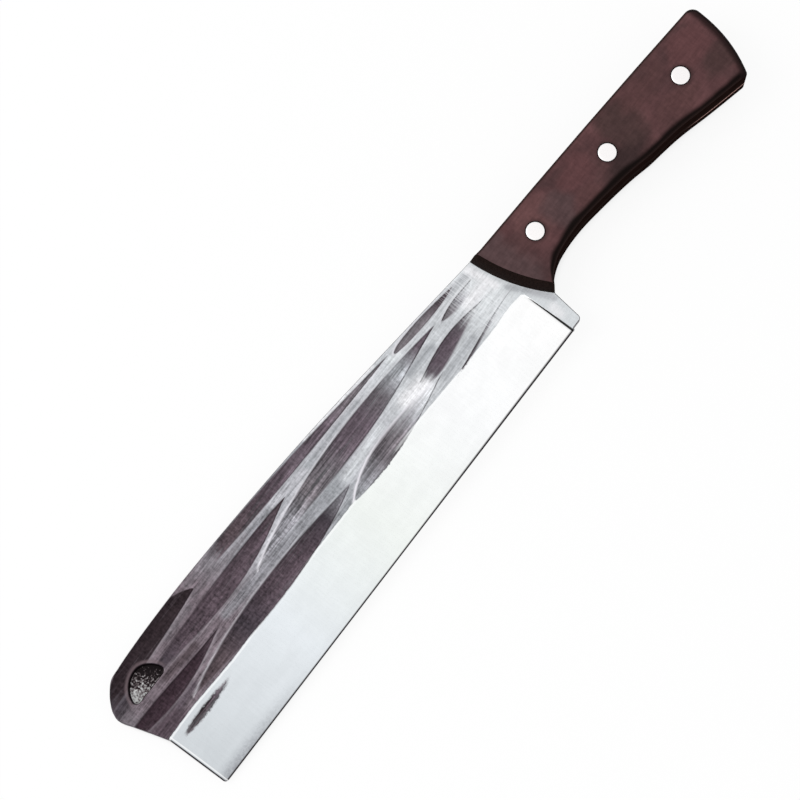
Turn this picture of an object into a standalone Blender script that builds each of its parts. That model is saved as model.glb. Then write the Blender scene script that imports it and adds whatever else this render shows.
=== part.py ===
"""Bone cleaver: a forged blade with a full tang, two wooden handle scales and three two-part rivets.

The knife lies on its right side. +X runs to the butt of the handle, +Y to the spine and +Z out of the
left face. Everything is drawn with the cutting edge on Y = 0 and the end of the grind on X = 0, and is
then placed so that the origin is under the middle of the knife, level with the face that it lies on.
"""

import math

import bmesh
import bpy
from mathutils import Matrix, Vector

# Blade, in metres
BLADE_LENGTH = 0.2074
BLADE_THICKNESS = 0.0040
FRONT_HEIGHT = 0.0458
SPINE_HEIGHT = 0.0573
SPINE_PEAK_SETBACK = 0.0330
NOSE_REACH = 0.0064
NOSE_HEIGHT = 0.0458
TIP_CORNER_RADIUS = 0.0015

# Ground part of the blade
GRIND_HEIGHT = 0.0254
BEVEL_HEIGHT = 0.0008
BEVEL_THICKNESS = 0.0008
EDGE_THICKNESS = 0.0001
PLUNGE_LEAN = 0.0004

# Heel behind the cutting edge
HEEL_RISE = 0.0006
HEEL_LENGTH = 0.0050
HEEL_CORNER_RADIUS = 0.0013
HEEL_BACK_HEIGHT = 0.0138
HEEL_BACK_REACH = 0.0069

# Handle
HANDLE_OVERLAP = 0.0026
HANDLE_LENGTH = 0.1254
HANDLE_SPINE_DROP = 0.0067
HANDLE_SPINE_BOW = 0.0002
WAIST_WIDTH = 0.0226
WAIST_SETBACK = 0.0336
BUTT_WIDTH = 0.0328
BUTT_RAKE = 0.0092
BUTT_SPINE_RADIUS = 0.0042
BUTT_BELLY_RADIUS = 0.0032
SCALE_THICKNESS = 0.0067
EDGE_ROUNDING = 0.0024
FRONT_ARC_RISE = 0.0021
FRONT_BEVEL = 0.0028

# Rivets
RIVET_COUNT = 3
RIVET_SETBACK = 0.0222
RIVET_PITCH = 0.0395
RIVET_BOW = 0.0004
RIVET_HEAD_DIAMETER = 0.0070
RIVET_HEAD_THICKNESS = 0.0015
RIVET_SLEEVE_DIAMETER = 0.0048
RIVET_POST_DIAMETER = 0.0024
RIVET_END_GAP = 0.0006

# Hanging hole near the tip
HOLE_SETBACK = 0.0021
HOLE_LENGTH = 0.0162
HOLE_PEAK_SETBACK = 0.0093
HOLE_HEIGHT = 0.0086
HOLE_FLOOR = 0.0423
HOLE_CORNER_RADIUS = 0.0016

# Gap kept between pieces that touch
FIT_GAP = 0.0003

# Forged hollows: how deep one is for its half width
HOLLOW_FLATNESS = 0.07
HOLLOW_SINK = 0.00002

# Curve resolution
RUN_STEPS = 4
CORNER_STEPS = 5
HOLE_STEPS = 18
ROUND_STEPS = 32
ROUNDING_SEGMENTS = 4
HOLLOW_STEPS = 11
CUT_MARGIN = 0.006

# Shape of the long curves, as shares of the distance along and of the rise or fall
SPINE_CURVE = ((0.30, 0.44), (0.51, 0.72), (0.75, 0.92))
NOSE_UPPER = ((0.35, 0.02), (0.62, 0.075), (0.75, 0.15), (0.84, 0.28), (0.915, 0.47), (0.97, 0.70))
NOSE_LOWER = ((0.78, 0.77), (0.28, 0.30))
GRIP_RISE = ((0.09, 0.10), (0.15, 0.35), (0.25, 0.62), (0.45, 0.87), (0.72, 0.98))
BELLY_FALL = ((0.17, 0.065), (0.395, 0.296), (0.695, 0.60))
BUTT_CURVE = 2.3
HOLE_ARCH = 1.3
BUTT_CURVE_STEPS = 6
SPINE_BOW_SHARES = (0.25, 0.5, 0.75)

# Forged hollows in millimetres from the end of the grind and from the edge:
# left tip x, y, right tip x, y, rise and its place, drop and its place as shares of the length
LEFT_HOLLOWS = (
    (-47.3, 47.1, -14.8, 46.4, 1.8, 0.30, 2.15, 0.65),
    (-147.5, 54.0, -50.1, 48.9, 4.5, 0.42, 2.1, 0.38),
    (-141.3, 37.5, -29.1, 42.0, 5.7, 0.42, 3.8, 0.60),
    (-191.0, 45.0, -113.5, 46.8, 2.1, 0.45, 5.7, 0.50),
    (-216.0, 52.9, -159.9, 52.7, 6.5, 0.55, 1.8, 0.65),
    (-50.4, 33.3, -10.0, 33.6, 2.65, 0.52, 5.0, 0.15),
    (-100.0, 25.1, -41.0, 29.2, 5.05, 0.38, 2.9, 0.42),
    (-188.7, 28.1, -95.1, 31.1, 4.0, 0.40, 4.5, 0.66),
    (-224.0, 36.0, -164.4, 36.7, 2.5, 0.25, 4.0, 0.60),
    (-202.5, 21.9, -178.1, 22.2, 1.4, 0.45, 0.85, 0.40),
    (-27.5, 40.1, -7.5, 42.0, 1.45, 0.35, 2.0, 0.40),
    (-39.5, 23.9, -8.0, 27.6, 0.5, 0.40, 1.6, 0.35),
)
RIGHT_HOLLOWS = (
    (-217.0, 52.6, -152.0, 53.4, 6.0, 0.50, 1.5, 0.70),
    (-163.0, 54.2, -66.0, 50.2, 5.0, 0.45, 2.2, 0.50),
    (-74.0, 50.4, -19.0, 46.6, 3.0, 0.35, 2.0, 0.60),
    (-188.0, 44.6, -120.0, 47.4, 2.4, 0.50, 4.4, 0.45),
    (-134.0, 41.6, -37.0, 43.4, 4.9, 0.50, 3.0, 0.45),
    (-42.0, 41.2, -9.0, 41.6, 1.7, 0.40, 2.0, 0.50),
    (-224.0, 36.5, -150.0, 38.0, 2.4, 0.35, 4.2, 0.55),
    (-174.0, 30.0, -86.0, 33.4, 3.4, 0.45, 4.2, 0.60),
    (-98.0, 35.0, -25.0, 34.3, 2.5, 0.40, 3.4, 0.50),
    (-120.0, 27.2, -54.0, 28.8, 3.2, 0.50, 3.0, 0.50),
    (-57.0, 29.4, -13.0, 28.8, 2.4, 0.40, 3.2, 0.45),
)

MM = 0.001
FLAT_ANGLE = math.radians(0.05)
HALF_BLADE = BLADE_THICKNESS / 2
SCALE_FLOOR = HALF_BLADE + FIT_GAP
HALF_HANDLE = SCALE_FLOOR + SCALE_THICKNESS
FRONT_X = -HANDLE_OVERLAP
BUTT_X = FRONT_X + HANDLE_LENGTH
TIP_X = -BLADE_LENGTH
NOSE_X = TIP_X - NOSE_REACH
BUTT_SPINE_HEIGHT = FRONT_HEIGHT - HANDLE_SPINE_DROP
BUTT_CORNER = (BUTT_X - BUTT_RAKE, BUTT_SPINE_HEIGHT - BUTT_WIDTH)

STEEL = ("forged_steel", (0.50, 0.50, 0.52, 1.0), 0.35, 1.0)
WOOD = ("dark_red_wood", (0.105, 0.043, 0.045, 1.0), 0.45, 0.0)
RIVET_METAL = ("bright_rivet", (0.82, 0.82, 0.83, 1.0), 0.25, 1.0)


def clear_scene():
    for item in list(bpy.data.objects):
        bpy.data.objects.remove(item, do_unlink=True)


def new_collection(name):
    collection = bpy.data.collections.new(name)
    bpy.context.scene.collection.children.link(collection)
    return collection


clear_scene()
PARTS = new_collection("bone_cleaver")
CUTTERS = new_collection("cutters")


# Curves


def smooth_run(points, steps=RUN_STEPS):
    """A smooth curve through the points, as a list of points."""
    knots = [Vector(p) for p in points]
    gaps = [max((b - a).length, 1e-9) for a, b in zip(knots, knots[1:])]
    slopes = [(b - a) / gap for a, b, gap in zip(knots, knots[1:], gaps)]
    tangents = [slopes[0]]
    for before, after, gap_before, gap_after in zip(slopes, slopes[1:], gaps, gaps[1:]):
        tangents.append((before * gap_after + after * gap_before) / (gap_before + gap_after))
    tangents.append(slopes[-1])
    run = [tuple(knots[0])]
    for i, gap in enumerate(gaps):
        for k in range(1, steps + 1):
            t = k / steps
            run.append(tuple(
                knots[i] * (2 * t**3 - 3 * t**2 + 1)
                + tangents[i] * gap * (t**3 - 2 * t**2 + t)
                + knots[i + 1] * (3 * t**2 - 2 * t**3)
                + tangents[i + 1] * gap * (t**3 - t**2)
            ))
    return run


def share_point(start, end, share):
    """The point that lies the two given shares of the way from start to end."""
    return tuple(a + (b - a) * s for a, b, s in zip(start, end, share))


def rounded_corner(before, corner, after, radius, steps=CORNER_STEPS):
    """An arc of the given radius that replaces a corner between two straight lines."""
    corner = Vector(corner)
    into = (corner - Vector(before)).normalized()
    out = (Vector(after) - corner).normalized()
    turn = into.angle_signed(out)
    reach = radius * math.tan(abs(turn) / 2)
    start = corner - into * reach
    side = -1 if turn > 0 else 1
    centre = start + Vector((-into.y, into.x)) * radius * side
    arm = start - centre
    points = []
    for k in range(steps + 1):
        spin = Matrix.Rotation(-turn * k / steps, 2)
        points.append(tuple(centre + spin @ arm))
    return points


def height_at(run, x):
    """Height of a run of points at x."""
    ordered = sorted(run)
    for (x0, y0), (x1, y1) in zip(ordered, ordered[1:]):
        if x0 <= x <= x1 and x1 > x0:
            return y0 + (y1 - y0) * (x - x0) / (x1 - x0)
    return ordered[0][1] if x < ordered[0][0] else ordered[-1][1]


# Outline of the knife, run by run


def blade_spine():
    """From the handle to the highest point of the spine."""
    start = (FRONT_X, FRONT_HEIGHT)
    end = (TIP_X + SPINE_PEAK_SETBACK, SPINE_HEIGHT)
    return [start] + [share_point(start, end, s) for s in SPINE_CURVE] + [end]


def nose():
    """From the highest point of the spine round the nose to the straight part of the tip."""
    peak = (TIP_X + SPINE_PEAK_SETBACK, SPINE_HEIGHT)
    front = (NOSE_X, NOSE_HEIGHT)
    foot = (TIP_X, GRIND_HEIGHT)
    upper = [share_point(peak, front, s) for s in NOSE_UPPER]
    lower = [share_point(foot, front, s) for s in NOSE_LOWER]
    return upper + [front] + lower + [foot]


def edge():
    """Down the straight end of the tip, along the cutting edge and round the heel."""
    foot = (TIP_X, GRIND_HEIGHT)
    tip = (TIP_X, 0.0)
    heel_end = (HEEL_LENGTH, HEEL_RISE)
    back_top = (HEEL_BACK_REACH, HEEL_BACK_HEIGHT)
    tip_corner = rounded_corner(foot, tip, (0.0, 0.0), TIP_CORNER_RADIUS)
    heel_corner = rounded_corner((0.0, HEEL_RISE), heel_end, back_top, HEEL_CORNER_RADIUS)
    return tip_corner + [(0.0, 0.0), (HEEL_RISE, HEEL_RISE)] + heel_corner


def belly():
    """From the heel along the under side of the handle to the butt's lower corner."""
    foot = (HEEL_BACK_REACH, HEEL_BACK_HEIGHT)
    waist_x = FRONT_X + WAIST_SETBACK
    waist = (waist_x, height_at(handle_spine(), waist_x) - WAIST_WIDTH)
    rise = [share_point(foot, waist, s) for s in GRIP_RISE]
    fall = [share_point(waist, BUTT_CORNER, s) for s in BELLY_FALL]
    return smooth_run([foot] + rise + [waist] + fall + [BUTT_CORNER])


def butt():
    """The butt's raked curve, from its lower corner to its upper one."""
    points = []
    for k in range(BUTT_CURVE_STEPS + 1):
        share = k / BUTT_CURVE_STEPS
        x = BUTT_X - BUTT_RAKE * (1 - share) ** BUTT_CURVE
        points.append((x, BUTT_CORNER[1] + BUTT_WIDTH * share))
    return points


def handle_spine():
    """The handle's upper side, bowed a little, from the butt to the blade."""
    start = (BUTT_X, BUTT_SPINE_HEIGHT)
    end = (FRONT_X, FRONT_HEIGHT)
    points = [start]
    for share in SPINE_BOW_SHARES:
        x, y = share_point(start, end, (share, share))
        points.append((x, y + HANDLE_SPINE_BOW * 4 * share * (1 - share)))
    return points + [end]


def handle_sides():
    """Under side, butt and upper side of the handle, with the butt's corners rounded."""
    under = belly()
    end = butt()
    upper = handle_spine()
    low = rounded_corner(under[-2], end[0], end[1], BUTT_BELLY_RADIUS)
    high = rounded_corner(end[-2], end[-1], upper[1], BUTT_SPINE_RADIUS)
    under = [p for p in under if p[0] < low[0][0] - FIT_GAP]
    end = [p for p in end if low[-1][1] + FIT_GAP < p[1] < high[0][1] - FIT_GAP]
    return under + low + end + high + upper[1:]


def knife_outline():
    """Blade and tang in one closed outline."""
    head = smooth_run(blade_spine() + nose())
    return edge() + handle_sides()[:-1] + head[:-1]


def front_arc(extra=0.0):
    """The seam where the scales end on the blade: an arc that bows towards the tip."""
    top = Vector((FRONT_X, FRONT_HEIGHT))
    foot = Vector((HEEL_BACK_REACH, HEEL_BACK_HEIGHT))
    chord = foot - top
    middle = (top + foot) / 2
    towards_tip = Vector((chord.y, -chord.x)).normalized()
    radius = (chord.length_squared / 4 + FRONT_ARC_RISE**2) / (2 * FRONT_ARC_RISE)
    centre = middle - towards_tip * (radius - FRONT_ARC_RISE)
    half = math.asin(chord.length / 2 / radius) + extra / radius
    points = []
    for k in range(2 * RUN_STEPS + 1):
        spin = Matrix.Rotation(half * (1 - k / RUN_STEPS), 2)
        points.append(tuple(centre + spin @ (towards_tip * radius)))
    return points


# Building blocks


def material(look):
    name, colour, roughness, metallic = look
    found = bpy.data.materials.get(name)
    if found:
        return found
    made = bpy.data.materials.new(name)
    made.use_nodes = True
    shader = made.node_tree.nodes["Principled BSDF"]
    shader.inputs["Base Color"].default_value = colour
    shader.inputs["Roughness"].default_value = roughness
    shader.inputs["Metallic"].default_value = metallic
    made.diffuse_color = colour
    return made


def as_mesh(curve_object, name):
    """The curve's evaluated shape as a welded mesh, and the curve removed."""
    bpy.context.view_layer.update()
    evaluated = curve_object.evaluated_get(bpy.context.evaluated_depsgraph_get())
    mesh = bpy.data.meshes.new_from_object(evaluated)
    mesh.transform(curve_object.matrix_world)
    bpy.data.objects.remove(curve_object, do_unlink=True)
    weld(mesh)
    mesh.name = name
    return mesh


def weld(mesh):
    """Joins the caps to the sides and makes each flat face one polygon."""
    work = bmesh.new()
    work.from_mesh(mesh)
    bmesh.ops.remove_doubles(work, verts=work.verts, dist=1e-6)
    bmesh.ops.dissolve_limit(work, angle_limit=FLAT_ANGLE, verts=work.verts, edges=work.edges)
    bmesh.ops.recalc_face_normals(work, faces=work.faces)
    work.to_mesh(mesh)
    work.free()


def plate_mesh(name, outline, low, high):
    """A flat outline made solid between two heights."""
    curve = bpy.data.curves.new(name, "CURVE")
    curve.dimensions = "2D"
    curve.fill_mode = "BOTH"
    curve.extrude = (high - low) / 2
    spline = curve.splines.new("POLY")
    spline.points.add(len(outline) - 1)
    for point, (x, y) in zip(spline.points, outline):
        point.co = (x, y, 0.0, 1.0)
    spline.use_cyclic_u = True
    made = bpy.data.objects.new(name, curve)
    made.location.z = (low + high) / 2
    bpy.context.scene.collection.objects.link(made)
    return as_mesh(made, name)


def rod_mesh(name, x, y, radius, low, high):
    """A round rod that stands on Z, as a mesh."""
    work = bmesh.new()
    spot = Matrix.Translation((x, y, (low + high) / 2))
    bmesh.ops.create_cone(
        work, cap_ends=True, segments=ROUND_STEPS, radius1=radius, radius2=radius,
        depth=high - low, matrix=spot,
    )
    mesh = bpy.data.meshes.new(name)
    work.to_mesh(mesh)
    work.free()
    return mesh


def add_piece(name, mesh, look):
    piece = bpy.data.objects.new(name, mesh)
    PARTS.objects.link(piece)
    mesh.materials.clear()
    mesh.materials.append(material(look))
    return piece


def cut(piece, name, mesh):
    """Takes the mesh away from a piece with a Boolean."""
    cutter = bpy.data.objects.new(name, mesh)
    CUTTERS.objects.link(cutter)
    cutter.hide_render = True
    cutter.display_type = "WIRE"
    boolean = piece.modifiers.new(name, "BOOLEAN")
    boolean.operation = "DIFFERENCE"
    boolean.solver = "EXACT"
    boolean.object = cutter


def mirrored(mesh, side):
    """The mesh on the left side of the knife, or turned over to the right side."""
    if side < 0:
        mesh.transform(Matrix.Scale(-1, 4, Vector((0, 0, 1))))
        mesh.flip_normals()
    return mesh


# Blade


def grind_slope():
    return (HALF_BLADE - BEVEL_THICKNESS / 2) / (GRIND_HEIGHT - BEVEL_HEIGHT)


def face_height(y):
    """Half thickness of the blade at a height above the edge, over the ground part."""
    if y >= GRIND_HEIGHT:
        return HALF_BLADE
    return HALF_BLADE - (GRIND_HEIGHT - y) * grind_slope()


def grind_mesh(name, side):
    """What grinding takes off one side: the long flat and the narrow bevel at the edge."""
    beyond = GRIND_HEIGHT + CUT_MARGIN
    profile = [
        (-CUT_MARGIN, EDGE_THICKNESS / 2),
        (0.0, EDGE_THICKNESS / 2),
        (BEVEL_HEIGHT, BEVEL_THICKNESS / 2),
        (beyond, HALF_BLADE + CUT_MARGIN * grind_slope()),
        (beyond, HALF_BLADE + CUT_MARGIN),
        (-CUT_MARGIN, HALF_BLADE + CUT_MARGIN),
    ]
    mesh = plate_mesh(name, profile, TIP_X - NOSE_REACH - CUT_MARGIN, 0.0)
    stand_up = Matrix(((0, 0, 1, 0), (1, 0, 0, 0), (0, 1, 0, 0), (0, 0, 0, 1)))
    mesh.transform(stand_up)
    lean = PLUNGE_LEAN / HALF_BLADE
    for vertex in mesh.vertices:
        vertex.co.x += lean * (vertex.co.z - HALF_BLADE)
    return mirrored(mesh, side)


def lens(share, place):
    """A curve that rises from 0 to 1 at its place and falls to 0 again, pointed at both ends."""
    if share <= 0 or share >= 1:
        return 0.0
    return ((share / place) ** place * ((1 - share) / (1 - place)) ** (1 - place)) ** 2


def hollow_mesh(name, leaf, side):
    """A flattened spindle that leaves one pointed, leaf-shaped hollow in the face."""
    left_x, left_y, right_x, right_y, rise, rise_place, drop, drop_place = leaf
    curve = bpy.data.curves.new(name, "CURVE")
    curve.dimensions = "3D"
    curve.bevel_depth = 1.0
    curve.bevel_resolution = 3
    spline = curve.splines.new("POLY")
    spline.points.add(HOLLOW_STEPS)
    for k, point in enumerate(spline.points):
        share = (1 - math.cos(math.pi * k / HOLLOW_STEPS)) / 2
        chord = left_y + (right_y - left_y) * share
        top = chord + rise * lens(share, rise_place)
        bottom = chord - drop * lens(share, drop_place)
        x = left_x + (right_x - left_x) * share
        point.co = (x * MM, (top + bottom) / 2 * MM, 0.0, 1.0)
        point.radius = (top - bottom) / 2 * MM
    spindle = bpy.data.objects.new(name, curve)
    bpy.context.scene.collection.objects.link(spindle)
    mesh = as_mesh(spindle, name)
    mesh.transform(Matrix.Scale(HOLLOW_FLATNESS, 4, Vector((0, 0, 1))))
    middle = (left_y + right_y) / 2 * MM
    mesh.transform(Matrix.Translation((0, 0, face_height(middle) + HOLLOW_SINK)))
    return mirrored(mesh, side)


def hole_outline():
    """A D on its back: a straight floor and an arch above it, higher towards the handle."""
    left = TIP_X + HOLE_SETBACK
    right = left + HOLE_LENGTH
    peak = left + HOLE_PEAK_SETBACK
    arch = []
    for k in range(HOLE_STEPS + 1):
        angle = math.pi * k / HOLE_STEPS
        reach = right - peak if k * 2 <= HOLE_STEPS else peak - left
        rise = (HOLE_HEIGHT - HOLE_CORNER_RADIUS) * abs(math.sin(angle)) ** HOLE_ARCH
        arch.append((peak + reach * math.cos(angle), HOLE_FLOOR + HOLE_CORNER_RADIUS + rise))
    low_left = rounded_corner(arch[-1], (left, HOLE_FLOOR), (right, HOLE_FLOOR), HOLE_CORNER_RADIUS)
    low_right = rounded_corner((left, HOLE_FLOOR), (right, HOLE_FLOOR), arch[0], HOLE_CORNER_RADIUS)
    return arch + low_left[1:] + low_right[:-1]


def handle_middle(x):
    """Height midway between the handle's upper and under side."""
    return (height_at(handle_spine(), x) + height_at(belly(), x)) / 2


def rivet_places():
    """Centres of the rivets: the outer two mid handle, those between them a little above their line."""
    first = FRONT_X + RIVET_SETBACK
    span = RIVET_PITCH * (RIVET_COUNT - 1)
    ends = (first, handle_middle(first)), (first + span, handle_middle(first + span))
    places = []
    for k in range(RIVET_COUNT):
        share = k / max(RIVET_COUNT - 1, 1)
        x, y = share_point(*ends, (share, share))
        places.append((x, y + RIVET_BOW * 4 * share * (1 - share)))
    return places


def sleeve_hole_radius():
    return RIVET_SLEEVE_DIAMETER / 2 + FIT_GAP


def make_blade():
    plate = plate_mesh("blade_with_tang", knife_outline(), -HALF_BLADE, HALF_BLADE)
    blade = add_piece("blade_with_tang", plate, STEEL)
    reach = HALF_BLADE + CUT_MARGIN
    for side, hollows, word in ((1, LEFT_HOLLOWS, "left"), (-1, RIGHT_HOLLOWS, "right")):
        for k, leaf in enumerate(hollows):
            name = f"{word}_hollow_{k}"
            cut(blade, name, hollow_mesh(name, leaf, side))
    for side, word in ((1, "left"), (-1, "right")):
        name = f"{word}_grind"
        cut(blade, name, grind_mesh(name, side))
    cut(blade, "hanging_hole", plate_mesh("hanging_hole", hole_outline(), -reach, reach))
    for k, (x, y) in enumerate(rivet_places()):
        hole = rod_mesh("tang_hole", x, y, sleeve_hole_radius(), -reach, reach)
        cut(blade, f"tang_hole_{k}", hole)
    return blade


# Handle scales


def scale_plate(name):
    """A handle scale before its front is cut: full outline, with the outer rim rounded over."""
    sides = handle_sides()
    foot = Vector(sides[0])
    low = foot - Vector((0.0, CUT_MARGIN / 2))
    front = [(FRONT_X - CUT_MARGIN, FRONT_HEIGHT), (FRONT_X - CUT_MARGIN, low.y)]
    outline = sides + front + [tuple(low)]
    mesh = plate_mesh(name, outline, SCALE_FLOOR, HALF_HANDLE)
    weights = mesh.attributes.new("bevel_weight_edge", "FLOAT", "EDGE")
    for index, rim in enumerate(mesh.edges):
        ends = [mesh.vertices[v].co for v in rim.vertices]
        on_top = all(co.z > HALF_HANDLE - 1e-6 for co in ends)
        faces = [f for f in mesh.polygons if set(rim.vertices) <= set(f.vertices)] if on_top else []
        upright = any(abs(f.normal.z) < 0.5 for f in faces)
        weights.data[index].value = 1.0 if upright else 0.0
    return mesh


def front_cutter(name, side):
    """What lies in front of the scale: the seam's arc, leaned back over the scale's height."""
    arc = front_arc(CUT_MARGIN)
    far = FRONT_X - 4 * CUT_MARGIN
    outline = arc + [(far, arc[-1][1]), (far, arc[0][1])]
    low = SCALE_FLOOR - CUT_MARGIN
    high = HALF_HANDLE + CUT_MARGIN
    mesh = plate_mesh(name, outline, low, high)
    for vertex in mesh.vertices:
        vertex.co.x += FRONT_BEVEL / SCALE_THICKNESS * (vertex.co.z - SCALE_FLOOR)
    return mirrored(mesh, side)


def make_scale(name, side):
    scale = add_piece(name, mirrored(scale_plate(name), side), WOOD)
    rounding = scale.modifiers.new("rounding", "BEVEL")
    rounding.limit_method = "WEIGHT"
    rounding.width = EDGE_ROUNDING
    rounding.segments = ROUNDING_SEGMENTS
    rounding.use_clamp_overlap = False
    cut(scale, f"{name}_front", front_cutter(f"{name}_front", side))
    seat_floor = HALF_HANDLE - RIVET_HEAD_THICKNESS - FIT_GAP
    seat_radius = RIVET_HEAD_DIAMETER / 2 + FIT_GAP
    below = SCALE_FLOOR - CUT_MARGIN
    above = HALF_HANDLE + CUT_MARGIN
    for k, (x, y) in enumerate(rivet_places()):
        hole = rod_mesh("shank_hole", x, y, sleeve_hole_radius(), below, above)
        seat = rod_mesh("head_seat", x, y, seat_radius, seat_floor, above)
        cut(scale, f"{name}_shank_hole_{k}", mirrored(hole, side))
        cut(scale, f"{name}_head_seat_{k}", mirrored(seat, side))
    return scale


# Rivets


def turned(name, profile):
    """A round piece about its own Z axis from a profile of (radius, height) points."""
    mesh = bpy.data.meshes.new(name)
    points = [(radius, 0.0, height) for radius, height in profile]
    mesh.from_pydata(points, [(k, k + 1) for k in range(len(points) - 1)], [])
    piece = add_piece(name, mesh, RIVET_METAL)
    screw = piece.modifiers.new("turn", "SCREW")
    screw.axis = "Z"
    screw.steps = ROUND_STEPS
    screw.render_steps = ROUND_STEPS
    screw.use_merge_vertices = True
    screw.merge_threshold = 1e-6
    screw.use_smooth_shade = True
    return piece


def make_rivet(word, x, y):
    """A sleeve with a head on the left face and a post with a head on the right face."""
    head = RIVET_HEAD_DIAMETER / 2
    sleeve = RIVET_SLEEVE_DIAMETER / 2
    post = RIVET_POST_DIAMETER / 2
    bore = post + FIT_GAP
    seat = HALF_HANDLE - RIVET_HEAD_THICKNESS
    tube_end = RIVET_END_GAP - seat
    post_end = seat - RIVET_END_GAP
    sleeve_profile = [
        (0.0, HALF_HANDLE), (head, HALF_HANDLE), (head, seat), (sleeve, seat),
        (sleeve, tube_end), (bore, tube_end), (bore, seat), (0.0, seat),
    ]
    post_profile = [
        (0.0, post_end), (post, post_end), (post, -seat),
        (head, -seat), (head, -HALF_HANDLE), (0.0, -HALF_HANDLE),
    ]
    for kind, profile in (("sleeve", sleeve_profile), ("post", post_profile)):
        piece = turned(f"rivet_{kind}_{word}", profile)
        piece.location = (x, y, 0.0)


def place_parts():
    """Moves every piece and cutter so that the origin is under the middle of the knife."""
    outline = knife_outline()
    xs = [x for x, y in outline]
    ys = [y for x, y in outline]
    shift = Vector((-(min(xs) + max(xs)) / 2, -(min(ys) + max(ys)) / 2, HALF_HANDLE))
    for collection in (PARTS, CUTTERS):
        for item in collection.objects:
            item.location += shift


def shade_round():
    for piece in PARTS.objects:
        piece.data.shade_smooth()
        piece.data.set_sharp_from_angle(angle=math.radians(30))


make_blade()
make_scale("handle_scale_left", 1)
make_scale("handle_scale_right", -1)
RIVET_WORDS = ("front", "middle", "rear")
for number, (rivet_x, rivet_y) in enumerate(rivet_places()):
    make_rivet(RIVET_WORDS[number] if number < len(RIVET_WORDS) else str(number), rivet_x, rivet_y)
place_parts()
shade_round()
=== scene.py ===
"""The looks of the bone cleaver: forged and ground blade, dark red wooden scales and bright rivets.

Lengths are in millimetres in the blade's own frame: X runs to the butt, Y to the spine and Z out of the left
face, with the cutting edge on Y = 0, the end of the grind on X = 0 and the middle of the steel on Z = 0.
"""

import math
from collections import namedtuple
from types import SimpleNamespace

import bmesh
import bpy
import numpy as np
from mathutils import Matrix, Vector


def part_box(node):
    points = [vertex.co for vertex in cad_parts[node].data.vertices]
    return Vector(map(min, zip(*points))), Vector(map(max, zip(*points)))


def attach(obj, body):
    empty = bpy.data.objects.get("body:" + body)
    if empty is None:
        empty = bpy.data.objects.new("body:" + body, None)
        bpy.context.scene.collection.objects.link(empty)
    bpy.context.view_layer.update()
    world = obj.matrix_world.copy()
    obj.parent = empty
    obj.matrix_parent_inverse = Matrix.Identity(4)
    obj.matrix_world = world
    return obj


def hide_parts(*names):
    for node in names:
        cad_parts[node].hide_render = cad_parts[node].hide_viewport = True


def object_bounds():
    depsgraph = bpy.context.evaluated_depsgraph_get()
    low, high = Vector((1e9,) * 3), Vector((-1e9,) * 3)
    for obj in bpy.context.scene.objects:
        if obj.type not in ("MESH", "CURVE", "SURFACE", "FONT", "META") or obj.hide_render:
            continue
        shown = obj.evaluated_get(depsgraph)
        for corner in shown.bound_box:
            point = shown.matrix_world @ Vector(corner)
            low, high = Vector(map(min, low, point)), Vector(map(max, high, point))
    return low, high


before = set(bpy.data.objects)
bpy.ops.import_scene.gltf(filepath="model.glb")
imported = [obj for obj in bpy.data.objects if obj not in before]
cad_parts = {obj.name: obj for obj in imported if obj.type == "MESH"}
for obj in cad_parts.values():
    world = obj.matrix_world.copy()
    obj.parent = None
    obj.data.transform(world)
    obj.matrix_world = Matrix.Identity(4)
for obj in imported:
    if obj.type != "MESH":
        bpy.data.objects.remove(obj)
CAD_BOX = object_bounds()

# Blade
BLADE_LENGTH = 207.75
BLADE_THICKNESS = 4.0
FRONT_HEIGHT = 45.8
SPINE_HEIGHT = 57.3
SPINE_PEAK_SETBACK = 33.35
NOSE_REACH = 6.05
NOSE_HEIGHT = 44.3
TIP_LEAN = 0.4
NOSE_CORNER_SETBACK = 4.0
TIP_CORNER_RADIUS = 1.5
GRIND_HEIGHT = 25.4
BEVEL_HEIGHT = 0.8
BEVEL_THICKNESS = 0.8
EDGE_THICKNESS = 0.1
PLUNGE_WIDTH = 0.4
RIM_CHAMFER = 0.22
MOST_CHAMFER = 0.4

# Heel
HEEL_RISE = 0.6
HEEL_LENGTH = 4.8
HEEL_CORNER_RADIUS = 1.3
HEEL_BACK_HEIGHT = 13.8
HEEL_BACK_REACH = 6.4

# Handle
HANDLE_OVERLAP = 3.2
HANDLE_LENGTH = 126.0
SHOULDER_LENGTH = 5.2
SHOULDER_DROP = 1.1
HANDLE_SPINE_DROP = 7.45
HANDLE_SPINE_BOW = 0.5
WAIST_WIDTH = 22.1
WAIST_SETBACK = 34.2
BUTT_WIDTH = 32.6
BUTT_RAKE = 8.8
BUTT_SPINE_RADIUS = 3.7
BUTT_BELLY_RADIUS = 1.9
SCALE_GAP = 0.05
EDGE_ROUNDING = 1.8
FRONT_ARC_RISE = 2.1
FRONT_BEVEL = 2.8

# Rivets
RIVET_WORDS = ("front", "middle", "rear")
RIVET_SETBACK = 22.5
RIVET_PITCH = 39.65
RIVET_RISES = (0.35, 0.75)
RIVET_BOW = 0.4
RIVET_HEAD_RADIUS = 3.5
RIVET_HEAD_THICKNESS = 1.5
RIVET_SEAT_GAP = 0.3
RIVET_HOLE_RADIUS = 2.7
RIVET_END_GAP = 0.6
RIVET_RIM = 0.25
RIVET_DOME = 0.03
RIVET_DOME_SHARES = ((0.35, 0.004), (0.7, 0.015))
SLEEVE_RADIUS = 2.4
SLEEVE_BORE = 1.5
POST_RADIUS = 1.2

# Hanging hole
HOLE_SETBACK = 2.45
HOLE_LENGTH = 16.2
HOLE_PEAK_SETBACK = 9.3
HOLE_HEIGHT = 8.6
HOLE_FLOOR = 42.3
HOLE_CORNER_RADIUS = 1.6
HOLE_ARCH = 1.3

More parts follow.
